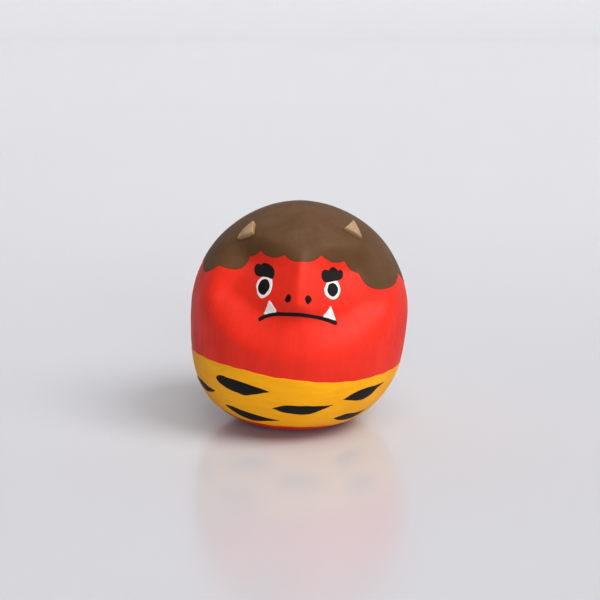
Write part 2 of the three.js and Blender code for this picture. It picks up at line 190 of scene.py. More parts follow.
def body_point(lon, lat, lift=0.0):
    """A place on the body in millimetres, raised by lift along the line from the body's centre."""
    lon, lat = np.broadcast_arrays(wrapped(lon), np.asarray(lat, float))
    points, radius = egg(lon, lat)
    share = (radius - face_depth(lon, lat) + lumps(points) + lift) / radius
    return leaned(points * share[..., None]) + CENTRE


print("body centre stands at", CENTRE.round(2), "mm, foot radius", round(FOOT_RADIUS, 2), "mm")

# %% [markdown]
# ## Turning places into pieces
# Most pieces here are sheets with two faces and a rounded rim. One helper turns points into a mesh object
# that rides on the doll. It also stores two things that the finishes need later: how far each point is from
# the rim of its paint, in millimetres, and whether it is bare paper.

# %% The mesh helpers
DEGREE = math.radians(1) * HALF_WIDTH  # millimetres in a degree of latitude


def grid_quads(rows, columns, closed=False, start=0):
    """Faces of a grid of rows by columns of points, closed round the columns if asked."""
    r, c = np.meshgrid(np.arange(rows - 1), np.arange(columns if closed else columns - 1), indexing="ij")
    d = (c + 1) % columns
    faces = np.stack([r * columns + c, r * columns + d, (r + 1) * columns + d, (r + 1) * columns + c], -1)
    return faces.reshape(-1, 4) + start


def make_piece(name, points, faces, slot, stands_for, rim=None, bare=None, weld=0.0):
    """Builds a mesh object from points in millimetres, and makes it ride on the doll."""
    mesh = bpy.data.meshes.new(name)
    mesh.from_pydata((np.asarray(points) * MM).tolist(), [], [list(map(int, f)) for f in faces])
    for label, values, plain in (("rim", rim, 9.0), ("bare", bare, 0.0)):
        values = np.full(len(points), plain) if values is None else values
        mesh.attributes.new(label, "FLOAT", "POINT").data.foreach_set("value", values.astype(np.float32))
    shape = bmesh.new()
    shape.from_mesh(mesh)
    if weld:
        bmesh.ops.remove_doubles(shape, verts=shape.verts, dist=weld * MM)
    bmesh.ops.recalc_face_normals(shape, faces=shape.faces)
    shape.to_mesh(mesh)
    shape.free()
    mesh.shade_smooth()
    piece = bpy.data.objects.new(name, mesh)
    bpy.context.scene.collection.objects.link(piece)
    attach(piece, "root")
    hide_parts(*stands_for)
    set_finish(piece, slot)
    return piece


# %% [markdown]
# ## The two shell halves
# Each half is a wall about 1.6 mm thick: an outer skin, an inner skin, and a lip between them where the two
# halves meet. One closed row of points runs up the outside of a meridian and back down the inside. Sweeping
# that row round half of the body makes the whole wall at once, with no boolean cut. The lip is let down by
# half a millimetre where the paper strip will lie.

# %% Strip and shell measures
STRIP_HALF = 3.0
STRIP_THICKNESS = 0.5
OPENING_RADIUS = 7.5
SEAM_HALF_GAP = 0.1
ROUND_COLUMNS = 181
RISE_ROWS = 171


def under_strip(points):
    """1 on the band round the coronal joint that the strip covers, easing to 0 beside it."""
    return ease(STRIP_HALF + 0.1, STRIP_HALF - 0.4, np.abs(points[..., 1]))


def opening_latitude(lon):
    """The latitude on each meridian where the round opening in the bottom cuts it."""
    low, high = np.full_like(lon, -89.9), np.full_like(lon, -55.0)
    for _ in range(30):
        middle = (low + high) / 2
        outside = np.hypot(*body_point(lon, middle)[..., :2].T) > OPENING_RADIUS
        high = np.where(outside, middle, high)
        low = np.where(outside, low, middle)
    return low


# %% Build a half
def shell_half(name, node, first_lon, last_lon):
    """The closed wall of one half, swept round the body between two longitudes."""
    lon = np.linspace(first_lon, last_lon, ROUND_COLUMNS)
    rise = np.linspace(0, 1, RISE_ROWS)[:, None]
    start = opening_latitude(lon)
    lat = start + rise * (90 - start)
    lon = np.broadcast_to(lon, lat.shape)
    outer = body_point(lon, lat)
    outer = body_point(lon, lat, -STRIP_THICKNESS * under_strip(outer))
    inner = body_point(lon, lat, -WALL)
    outer[..., 2] = np.maximum(outer[..., 2], FOOT_TOP)
    inner[..., 2] = np.maximum(inner[..., 2], FOOT_TOP + 0.5)
    side = -1 if name.startswith("front") else 1
    for skin in (outer, inner):
        skin[..., 1] = side * np.maximum(side * skin[..., 1], SEAM_HALF_GAP)
    loop = np.concatenate([outer, inner[::-1]])
    rows, columns = loop.shape[:2]
    bare = np.zeros((rows, columns))
    bare[rows // 2:] = 1
    faces = grid_quads(rows, columns)
    closing = np.arange(columns - 1)
    last = (rows - 1) * columns
    sill = np.stack([last + closing, last + closing + 1, closing + 1, closing], -1)
    lips = []
    for edge in (0, columns - 1):
        up = np.arange(rows // 2 - 1)
        back = rows - 1 - up
        lips.append(np.stack([up, up + 1, back - 1, back], -1) * columns + edge)
    faces = np.concatenate([faces, sill, *lips])
    return make_piece(name, loop.reshape(-1, 3), faces, "red_body", [node], bare=bare.ravel(), weld=0.004)


front_half = shell_half("front_shell_wall", "front_shell", -90, 90)
rear_half = shell_half("rear_shell_wall", "rear_shell", 90, 270)
print("shell halves", len(front_half.data.vertices), "and", len(rear_half.data.vertices), "points")

# %% [markdown]
# ## The paper strip over the joint
# A strip of soft paper is pasted over the joint, and its torn edges feather out on both sides. It could be a
# bevelled ribbon, but then its edge would stand up like card. Here its cross-section sinks into the rebate
# and thins to nothing at the edges, and the edges wander a little, as torn paper does.

# %% Sweep the strip from foot to crown to foot
def ring_place(around, aside):
    """Longitude and latitude of a point on the coronal ring: degrees round it, and degrees to its side."""
    a, b = np.radians(around), np.radians(aside)
    x, y, z = np.sin(a) * np.cos(b), np.sin(b), np.cos(a) * np.cos(b)
    return np.degrees(np.arctan2(x, -y)), np.degrees(np.arcsin(np.clip(z, -1, 1)))


def seam_strip():
    around = np.linspace(-163, 158, 430)[:, None]
    across = np.array([-1, -0.93, -0.84, -0.6, -0.3, 0, 0.3, 0.6, 0.84, 0.93, 1])
    torn = 1 + 0.05 * np.sin(around * 0.41) + 0.035 * np.sin(around * 1.13 + 2)
    aside = across * (STRIP_HALF + 0.35) * torn / DEGREE
    lon, lat = ring_place(around, aside)
    feather = 1 - np.abs(across) ** 4
    top = body_point(lon, lat, 0.07 * feather - 0.02)
    let_in = under_strip(body_point(lon, lat))
    bottom = body_point(lon, lat, -0.03 - (STRIP_THICKNESS - 0.06) * let_in)
    for skin in (top, bottom):
        skin[..., 2] = np.maximum(skin[..., 2], FOOT_TOP)
    section = np.concatenate([top, bottom[:, -2:0:-1]], 1)
    rows, columns = section.shape[:2]
    ends = [list(range(columns - 1, -1, -1)), list(range((rows - 1) * columns, rows * columns))]
    faces = list(grid_quads(rows, columns, closed=True)) + ends
    section = section.reshape(-1, 3)
    return make_piece("seam_strip_paper", section, faces, "red_body", ["seam_strip"], weld=0.002)


strip = seam_strip()
print("strip", len(strip.data.vertices), "points")

# %% [markdown]
# ## The paper disc under the foot
# A disc of thick paper closes the opening and is what the doll stands on. A plain cylinder would look
# machined. This one is turned from a profile with soft corners, and its radius wanders as scissors do.

# %% Turn the foot disc
DISC_SHORT = 0.12  # by which the disc is cut smaller than the pressed flat


def foot_disc():
    turn = np.linspace(0, 2 * math.pi, 144, endpoint=False)
    cut = 0.09 * np.sin(3 * turn + 0.6) + 0.05 * np.sin(7 * turn + 2) + 0.03 * np.sin(16 * turn)
    inset = np.array([6.0, 3.0, 1.0, 0.25, 0.07, 0.0, 0.0, 0.07, 0.25, 1.0, 3.0, 6.0])
    level = np.array([0, 0, 0, 0.01, 0.05, 0.12, 0.38, 0.45, 0.49, 0.5, 0.5, 0.5])
    reach = FOOT_RADIUS - DISC_SHORT - inset[:, None] + cut * ease(6, 0, inset)[:, None]
    height = np.broadcast_to(level[:, None], reach.shape)
    rings = np.stack([reach * np.cos(turn), reach * np.sin(turn), height], -1)
    points = np.concatenate([rings.reshape(-1, 3), [[0, 0, 0], [0, 0, level[-1]]]])
    rows, columns = rings.shape[:2]
    faces = grid_quads(rows, columns, closed=True).tolist()
    low, high, last = rows * columns, rows * columns + 1, (rows - 1) * columns
    for i in range(columns):
        j = (i + 1) % columns
        faces += [[low, j, i], [high, last + i, last + j]]
    return make_piece("base_patch_disc", points, faces, "red_body", ["base_patch"])


disc = foot_disc()
print("foot disc radius", round(max(v.co.xy.length for v in disc.data.vertices) / MM, 2), "mm")

# %% [markdown]
# ## What is inside
# Nobody sees the clay, but the doll is weighted by it, and the piece is part of the library. It is a lump
# pressed in by thumb, so its top dips and swells. The bead of paste round it sags and shines a little.

# %% The clay plug and the bead of paste
CLAY_EDGE_HEIGHT = 8.5
CLAY_DOME = 1.8
CLAY_FOOT_HEIGHT = 2.2
FIT_GAP = 0.3
BEAD_LEG = 3.0
THUMB_MARKS = wave_set(5, 8, 13.0)
THUMB_DEPTH = 0.22


def wall_at_height(turn, height, lift):
    """Places on the wall at each angle round the Z axis, at a height above the floor."""
    lon = np.degrees(np.arctan2(np.cos(turn), -np.sin(turn)))
    low, high = np.full_like(turn, -89.0), np.full_like(turn, 0.0)
    for _ in range(30):
        middle = (low + high) / 2
        above = body_point(lon, middle, lift)[..., 2] > height
        high = np.where(above, middle, high)
        low = np.where(above, low, middle)
    return body_point(lon, high, lift)


def clay_plug():
    turn = np.linspace(0, 2 * math.pi, 120, endpoint=False)
    seat = -WALL - FIT_GAP
    heights = np.linspace(CLAY_FOOT_HEIGHT, CLAY_EDGE_HEIGHT - 0.5, 12)
    rings = [wall_at_height(turn, h, seat) for h in heights]
    brim = wall_at_height(turn, CLAY_EDGE_HEIGHT - 0.2, seat)
    middle = brim.mean(0)
    for share in (0.985, 0.95, 0.88, 0.78, 0.66, 0.52, 0.38, 0.24, 0.1):
        ring = middle + (brim - middle) * share
        thumb = THUMB_DEPTH * waves(ring, THUMB_MARKS) * ease(1, 0.8, share)
        ring[:, 2] = CLAY_EDGE_HEIGHT - 0.12 + CLAY_DOME * (1 - share**2) * 0.85 + thumb
        rings.append(ring)
    rings = np.array(rings)
    top = rings[-1].mean(0)
    bottom = rings[0].mean(0)
    points = np.concatenate([rings.reshape(-1, 3), [bottom, top]])
    rows, columns = rings.shape[:2]
    faces = grid_quads(rows, columns, closed=True).tolist()
    low, high, last = rows * columns, rows * columns + 1, (rows - 1) * columns
    for i in range(columns):
        j = (i + 1) % columns
        faces += [[low, j, i], [high, last + i, last + j]]
    return make_piece("clay_weight_plug", points, faces, "clay", ["clay_weight"])


def paste_bead():
    turn = np.linspace(0, 2 * math.pi, 160, endpoint=False)
    low = CLAY_EDGE_HEIGHT + FIT_GAP
    high = low + BEAD_LEG * 0.9
    wall_low = wall_at_height(turn, low, -WALL - FIT_GAP)
    wall_high = wall_at_height(turn, high, -WALL - FIT_GAP)
    sag = 1 + 0.12 * np.sin(5 * turn) + 0.08 * np.sin(11 * turn + 1)
    inward = -wall_low * [1, 1, 0]
    inward /= np.linalg.norm(inward, axis=1)[:, None]
    toe = wall_low + inward * (BEAD_LEG * 0.72 * sag)[:, None] + [0, 0, 0.35]
    belly = (toe + wall_high) / 2 - inward * 0.25 - [0, 0, 0.35]
    foot, head = wall_low + inward * 0.05, wall_high + inward * 0.1
    loop = np.stack([foot, (wall_low + toe) / 2, toe, belly, head], 0)
    loop[1, :, 2] = wall_low[:, 2] + 0.08
    rows, columns = loop.shape[:2]
    faces = grid_quads(rows, columns, closed=True).tolist()
    last = (rows - 1) * columns
    faces += [[last + i, last + (i + 1) % columns, (i + 1) % columns, i] for i in range(columns)]
    piece = make_piece("glue_fillet_bead", loop.reshape(-1, 3), faces, "paste", ["glue_fillet"])
    smooth = piece.modifiers.new("soften", "SUBSURF")
    smooth.levels = smooth.render_levels = 1
    return piece


plug = clay_plug()
bead = paste_bead()
print("clay", len(plug.data.vertices), "points, paste", len(bead.data.vertices), "points")

# %% [markdown]
# ## Drawing outlines the way a brush does
# The painted shapes need few points: a smooth curve passes through them, as the eye follows a stroke. A
# Catmull-Rom curve goes exactly through its points and needs no handles. Afterwards a slow, seeded wander
# of less than a tenth of a millimetre takes away the look of a drawn vector.

# %% Curves through a few places
def through(points, closed=True, steps=16):
    """A smooth curve through the points, with its knots spaced by the root of their distance."""
    p = np.asarray(points, float)
    if closed:
        p = np.concatenate([p[-1:], p, p[:2]])
    else:
        p = np.concatenate([[2 * p[0] - p[1]], p, [2 * p[-1] - p[-2]]])
    curve = []
    for a, b, c, d in zip(p[:-3], p[1:-2], p[2:-1], p[3:]):
        k1 = np.linalg.norm(b - a) ** 0.5
        k2 = k1 + np.linalg.norm(c - b) ** 0.5
        k3 = k2 + np.linalg.norm(d - c) ** 0.5
        t = np.linspace(k1, k2, steps, endpoint=False)[:, None]
        ab = a + (b - a) * t / k1
        bc = b + (c - b) * (t - k1) / (k2 - k1)
        cd = c + (d - c) * (t - k2) / (k3 - k2)
        abc = ab + (bc - ab) * t / k2
        bcd = bc + (cd - bc) * (t - k1) / (k3 - k1)
        curve.append(abc + (bcd - abc) * (t - k1) / (k2 - k1))
    curve = np.concatenate(curve)
    return curve if closed else np.concatenate([curve, [p[-2]]])


def brush_mark(left, right, over, under):
    """One mark of a loaded brush, pointed at both ends."""
    lower = through([left, *under, right], closed=False)[:-1]
    upper = through([right, *over, left], closed=False)[:-1]
    return np.concatenate([lower, upper])


def stroke(points, width, blunt):
    """A stroke of even width, its ends rounded off over the last share of its length."""
    line = through(points, closed=False)
    along = np.gradient(line, axis=0)
    along /= np.linalg.norm(along, axis=1)[:, None]
    t = np.linspace(0, 1, len(line))
    to_end = np.minimum(t, 1 - t)
    end = np.clip(to_end / blunt, 0, 1)
    half = width / 2 / DEGREE * np.sqrt(1 - (1 - end) ** 2) * (1 + 0.13 * ease(0.25, 0, to_end))
    side = np.stack([along[:, 1], -along[:, 0]], -1) * half[:, None]
    return np.concatenate([(line + side)[:-1], (line - side)[::-1][:-1]])


# %% [markdown]
# ## A film of paint
# Paint on this doll could be a colour mask in the shader, but then it would have no edge to catch light,
# and nobody could take it off or recolour it. Each mark is a thin closed body instead: it sits on the
# surface below, bulges at the rim as wet paint does, and settles to an even thickness inside.
# A constrained Delaunay mesh fills any outline, with rows of points close to the rim to shape the bulge.

# %% Fill an outline with a film
FIRST_COAT = (-0.03, 0.11)  # a coat's foot and top, in millimetres above the paper
SECOND_COAT = (0.07, 0.19)
UNDERSIDE = 0.03  # how far a film's underside lies below its foot
BULGE = 0.32
RIM_ROWS = (0.05, 0.14, 0.28)  # rows of points that shape the bulge, in from the rim


def evened(loop, gap):
    """The closed loop again, with its points the same distance apart."""
    ring = np.concatenate([loop, loop[:1]])
    run = np.concatenate([[0], np.cumsum(np.linalg.norm(np.diff(ring, axis=0), axis=1))])
    count = max(12, int(run[-1] / gap))
    at = np.linspace(0, run[-1], count, endpoint=False)
    return np.stack([np.interp(at, run, ring[:, 0]), np.interp(at, run, ring[:, 1])], -1)


def wander(loop, amount, seed):
    """The loop pushed in and out by a slow hand tremor."""
    draw = np.random.default_rng(seed)
    turn = np.linspace(0, 2 * math.pi, len(loop), endpoint=False)
    tremor = sum(draw.normal() * np.sin(k * turn + draw.uniform(0, 6)) / math.sqrt(k)
                 for k in range(3, 12))
    along = np.roll(loop, -1, 0) - np.roll(loop, 1, 0)
    side = np.stack([along[:, 1], -along[:, 0]], -1) / (np.linalg.norm(along, axis=1)[:, None] + 1e-9)
    return loop + side * (amount * tremor)[:, None]


def from_rim(points, loop):
    """Distance of each flat point from the closed loop, and whether it is inside."""
    a, b = loop, np.roll(loop, -1, 0)
    step = b - a
    away = points[:, None] - a
    share = np.clip((away * step).sum(-1) / (step**2).sum(-1), 0, 1)
    distance = np.linalg.norm(away - share[..., None] * step, axis=-1).min(1)
    crossing = (a[:, 1] > points[:, None, 1]) != (b[:, 1] > points[:, None, 1])
    level = np.where(np.abs(step[:, 1]) < 1e-12, 1e-12, step[:, 1])
    reach = a[:, 0] + (points[:, None, 1] - a[:, 1]) * step[:, 0] / level
    inside = (crossing & (points[:, None, 0] < reach)).sum(1) % 2 == 1
    return distance, inside


def rounded(distance, width=BULGE):
    """Height of a paint edge from 0 at the rim to 1, with the little bulge that wet paint leaves."""
    near = np.clip(distance / width, 0, 1)
    bead_of_paint = np.exp(-(((distance - 1.1 * width) / (0.6 * width)) ** 2))
    return np.sqrt(1 - (1 - near) ** 2) + 0.12 * bead_of_paint


def film(name, outline, coat, slot, stands_for, seed, tremor, gap=0.2, grain=0.32, crest=None):
    """A closed film of paint over an outline of places. crest may raise its top further."""
    outline = np.asarray(outline, float)
    middle = outline.mean(0)
    squeeze = np.array([math.cos(math.radians(middle[1])), 1]) * DEGREE
    loop = wander(evened((outline - middle) * squeeze, gap), tremor, seed)
    low, high = loop.min(0), loop.max(0)
    along = np.roll(loop, -1, 0) - np.roll(loop, 1, 0)
    inward = np.stack([-along[:, 1], along[:, 0]], -1) / np.linalg.norm(along, axis=1)[:, None]
    if np.sum(loop[:, 0] * along[:, 1] - loop[:, 1] * along[:, 0]) < 0:
        inward = -inward
    cloud = []
    for depth in RIM_ROWS:
        row = loop + inward * depth
        cloud.append(row[from_rim(row, loop)[0] > depth * 0.93])
    xs, ys = np.arange(low[0], high[0], grain), np.arange(low[1], high[1], grain * 0.87)
    grid = np.array([(x + (j % 2) * grain / 2, y) for j, y in enumerate(ys) for x in xs])
    if len(grid):
        cloud.append(grid[from_rim(grid, loop)[0] > RIM_ROWS[-1] + grain * 0.45])
    flat = np.concatenate(cloud)
    flat = np.concatenate([loop, flat[from_rim(flat, loop)[1]]])
    ring = list(range(len(loop)))
    made = delaunay_2d_cdt([Vector(p) for p in flat.tolist()], [], [ring], 1, 1e-5)
    flat = np.array([list(v) for v in made[0]])
    triangles = [list(f) for f in made[2]]
    distance = from_rim(flat, loop)[0]
    distance[distance < 1e-4] = 0
    place = flat / squeeze + middle
    base, top = coat
    lift = base + (top - base) * rounded(distance)
    if crest is not None:
        lift = lift + crest(place, distance)
    upper = body_point(place[:, 0], place[:, 1], lift)
    lower = body_point(place[:, 0], place[:, 1], base - UNDERSIDE)
    on_rim = distance == 0
    number = np.cumsum(~on_rim) - 1 + len(flat)
    twin = np.where(on_rim, np.arange(len(flat)), number)
    faces = triangles + [[int(twin[i]) for i in reversed(f)] for f in triangles]
    points = np.concatenate([upper, lower[~on_rim]])
    rim = np.concatenate([distance, distance[~on_rim]])
    return make_piece(name, points, faces, slot, [stands_for], rim)


# %% [markdown]
# ## The hair
# The hair is a cap of brown paint with a scalloped hem. Its lobes are quadratic curves between cusps. A
# polar grid suits it better than a filled outline: columns follow the hem, and rows climb to the crown.

# %% The hem of the hair
FRONT_LOBES = [  # the cusp each lobe starts from, and the place that pulls it down
    ((-88, 27), (-72, 13)),
    ((-60.9, 27.1), (-46.5, 27)),
    ((-46.2, 39.8), (-41, 40.3)),
    ((-35.6, 43.3), (-26, 39.3)),
    ((-15.2, 42.6), (-1.5, 33.5)),
    ((11.8, 43.9), (20.5, 40.2)),
    ((32, 41.9), (36.6, 37.8)),
    ((44, 34.5), (46, 14)),
]
BACK_START, BACK_END, BACK_LOBES = 78, 272, 8
BACK_HEM_TOP = 27
BACK_HEM_DROP = 10
BACK_LOBE_PULL = 13


def back_hem(lon):
    """The latitude of the cusps, which sink toward the middle of the back."""
    share = (lon - BACK_START) / (BACK_END - BACK_START)
    return BACK_HEM_TOP - BACK_HEM_DROP * math.sin(math.radians(share * 180))


def hair_hem():
    """The whole hem, lobe after lobe, as a line of places."""
    step = (BACK_END - BACK_START) / BACK_LOBES
    back = []
    for i in range(BACK_LOBES):
        cusp, dip = BACK_START + i * step, BACK_START + (i + 0.5) * step
        back.append(((cusp, back_hem(cusp)), (dip, back_hem(dip) - BACK_LOBE_PULL)))
    lobes = FRONT_LOBES + back
    cusps = np.array([cusp for cusp, _ in lobes] + [lobes[0][0]], float)
    cusps[-1, 0] += 360
    t = np.linspace(0, 1, 40, endpoint=False)[:, None]
    hem = []
    for (_, pull), start, end in zip(lobes, cusps, cusps[1:]):
        hem.append((1 - t) ** 2 * start + 2 * t * (1 - t) * np.array(pull) + t**2 * end)
    return np.concatenate(hem)


def around_line(line, gap):
    """A line of places right round the body, re-spaced evenly by its true length."""
    ring = np.concatenate([line, [line[0] + [360, 0]]])
    run = np.concatenate([[0], np.cumsum(np.linalg.norm(np.diff(body_point(*ring.T), axis=0), axis=1))])
    at = np.linspace(0, run[-1], int(run[-1] / gap), endpoint=False)
    return np.stack([np.interp(at, run, ring[:, 0]), np.interp(at, run, ring[:, 1])], -1)


def shaken(line, amount, seed):
    """The line moved up and down by a hand tremor, in degrees of latitude."""
    draw = np.random.default_rng(seed)
    turn = np.radians(line[:, 0])
    tremor = sum(draw.normal() * np.sin(k * turn + draw.uniform(0, 6)) for k in range(9, 34, 4))
    return line + np.stack([np.zeros(len(line)), tremor / 2.6 * amount / DEGREE], -1)


def nearest(points, line):
    """True distance of each point from the nearest point of a line."""
    tree = KDTree(len(line))
    for i, p in enumerate(line):
        tree.insert(p, i)
    tree.balance()
    return np.array([tree.find(p)[2] for p in points])


def hair_cap():
    hem = shaken(around_line(hair_hem(), 0.27), 0.05, 4)
    rise = np.concatenate([[0, 0.05, 0.12, 0.22, 0.34, 0.5, 0.75], np.linspace(1.1, 58, 88)])
    rise = rise / rise[-1] * 0.995
    lat = hem[:, 1] + rise[:, None] * (90 - hem[:, 1])
    lon = np.broadcast_to(hem[:, 0], lat.shape)
    where = np.stack([lon, lat], -1).reshape(-1, 2)
    hem_points = body_point(*around_line(hem, 0.09).T)
    rim = nearest(body_point(*where.T), hem_points)
    rim[: len(hem)] = 0
    base, top = FIRST_COAT
    upper = body_point(*where.T, base + (top - base) * rounded(rim))
    lower = body_point(*where[len(hem):].T, base - UNDERSIDE)
    rows, columns = lat.shape
    faces = grid_quads(rows, columns, closed=True)
    under = grid_quads(rows - 1, columns, closed=True, start=rows * columns)[:, ::-1]
    c = np.arange(columns)
    d = (c + 1) % columns
    joint = np.stack([d, c, rows * columns + c, rows * columns + d], -1)
    crowns = [list(range((rows - 1) * columns, rows * columns)),
              list(range(rows * columns * 2 - columns - 1, rows * columns * 2 - columns * 2 - 1, -1))]
    points = np.concatenate([upper, lower])
    rim = np.concatenate([rim, rim[len(hem):]])
    faces = faces.tolist() + under.tolist() + joint.tolist() + crowns
    return make_piece("hair_paint_cap", points, faces, "hair_brown", ["hair_paint"], rim, weld=0.003)


hair = hair_cap()
print("hair", len(hair.data.vertices), "points")

# %% [markdown]
# ## The loincloth
# The yellow band is painted freehand right round the doll, so its two edges drift. It is a grid of rows
# between the two edge lines, with more rows close to each edge, where the paint rounds over.

# %% The band
CLOTH_TOP = [
    (-83, -23.8), (-72, -22.6), (-58, -21.8), (-44, -21.5), (-30, -21.2), (-17, -22), (2, -22.7),
    (20, -23.5), (38, -23.2), (52, -22.4), (66, -22), (120, -22), (175, -22.5), (225, -24),
]
CLOTH_BOTTOM = [
    (-52, -52.6), (-42, -55), (-28, -54.8), (-10, -55), (9, -53.8), (30, -53.6), (45, -54),
    (75, -56.5), (130, -55), (190, -53), (260, -51.5),
]
EDGE_SHARES = [0, 0.0025, 0.006, 0.011, 0.018, 0.028, 0.042]  # rows close to each edge


def waist_line(places):
    """A smooth line of latitudes right round the doll through a few places."""
    p = np.array(places, float)
    laps = np.concatenate([p - [360, 0], p, p + [360, 0]])
    line = through(laps, closed=False, steps=24)
    lon = np.linspace(-180, 180, 900, endpoint=False)
    return np.stack([lon, np.interp(lon, line[:, 0], line[:, 1])], -1)


def loincloth():
    top_line = shaken(waist_line(CLOTH_TOP), 0.07, 12)
    low_line = shaken(waist_line(CLOTH_BOTTOM), 0.09, 15)
    near = np.array(EDGE_SHARES)
    share = np.concatenate([near, np.linspace(0.065, 0.935, 36), 1 - near[::-1]])[:, None]
    lat = low_line[:, 1] + share * (top_line[:, 1] - low_line[:, 1])
    lon = np.broadcast_to(top_line[:, 0], lat.shape)
    flat = body_point(lon, lat)
    edges = np.concatenate([body_point(*around_line(line, 0.08).T) for line in (top_line, low_line)])
    rim = nearest(flat.reshape(-1, 3), edges).reshape(lat.shape)
    rim[0] = rim[-1] = 0
    base, top = FIRST_COAT
    upper = body_point(lon, lat, base + (top - base) * rounded(rim))
    lower = body_point(lon, lat, base - UNDERSIDE)[-2:0:-1]
    loop = np.concatenate([upper, lower])
    rim = np.concatenate([rim, rim[-2:0:-1]])
    rows, columns = loop.shape[:2]
    c = np.arange(columns)
    d = (c + 1) % columns
    last = (rows - 1) * columns
    closing = np.stack([last + c, last + d, d, c], -1)
    faces = np.concatenate([grid_quads(rows, columns, closed=True), closing])
    points = loop.reshape(-1, 3)
    return make_piece(
        "loincloth_paint_band", points, faces, "loincloth_yellow", ["loincloth_paint"], rim.ravel())


cloth = loincloth()
print("loincloth", len(cloth.data.vertices), "points")

# %% [markdown]
# ## The tiger stripes
# Fifteen single marks lie on the yellow: six in front, drawn one by one, and nine round the back in the
# same two staggered rows. The back ones follow a rule, with a different tremor each, as nobody paints the
# same mark twice.

# %% The stripes
FRONT_STRIPES = [  # left end, right end, places above, places below
    ((-82, -37.5), (-50.4, -37.6), [(-58, -37.2), (-68, -35.8)], [(-66, -41.2), (-56.5, -40.1)]),
    ((-47.9, -29.8), (-12.2, -30.4),
     [(-17.5, -29.3), (-26, -28.1), (-37.7, -27.4), (-43.5, -27.5), (-46.6, -28.5)],
     [(-46.2, -31.6), (-41, -33.3), (-33.5, -34.3), (-27.9, -34.9), (-22.5, -33.3), (-17.4, -31.8)]),
    ((-47, -44.7), (-5.2, -48),
     [(-14.1, -47.2), (-25.3, -45.7), (-38.5, -44.2)],
     [(-40.5, -48), (-33, -51.2), (-24.5, -52.2), (-14.3, -50.3)]),
    ((-11.2, -39.6), (24.9, -35.6),
     [(16.1, -36.2), (5.1, -36.4), (-4, -37)],
     [(-4.5, -41.4), (3.5, -42.3), (10.7, -41.7), (18.2, -38.6)]),
    ((28.8, -33.1), (60.3, -27.4),
     [(52.6, -27.9), (42.3, -28.3), (34.9, -30)],
     [(35.2, -34.3), (43.5, -35.1), (49.7, -33.2), (54, -29.6)]),
    ((29.5, -45.6), (57.5, -43.6),
     [(47, -43.9), (38, -43.2), (33, -44.4)],
     [(35, -47.7), (43, -49.2), (51, -48.4)]),
]
BACK_PLACES = [
    (95, -39.5), (115, -31), (135, -43), (155, -32), (175, -43.5), (195, -31), (215, -42.5),
    (235, -33), (255, -45),
]
BACK_HALF_LENGTH = 15.5
BACK_SWELL = 3.1


def back_stripe(i, lon, lat):
    """A mark about one place, fuller below than above, with a lean that changes from mark to mark."""
    half, swell = BACK_HALF_LENGTH, BACK_SWELL
    tilt = 1.4 if i % 3 else -1.1
    over = [(lon + half * 0.35, lat + swell * 0.85), (lon - half * 0.4, lat + swell * 0.6)]
    under = [(lon - half * 0.35, lat - swell), (lon + half * 0.4, lat - swell * 0.7)]
    return (lon - half, lat - tilt), (lon + half, lat + tilt), over, under


marks = FRONT_STRIPES + [back_stripe(i, *place) for i, place in enumerate(BACK_PLACES)]
for i, mark in enumerate(marks, 1):
    film(f"tiger_stripe_{i:02d}_mark", brush_mark(*mark), SECOND_COAT, "ink_black", f"tiger_stripe_{i:02d}",
         seed=40 + i, tremor=0.05, grain=0.6)
print(len(marks), "stripes")

# %% [markdown]
# ## The face
# Brows, eyes, nostrils and fangs each have their own outline, and the mouth is one even stroke. The
# pupils lie on the whites, so they are second coats. The brows overlap the eyes and the mouth crosses the
# feet of the fangs, so those coats are a little thicker.

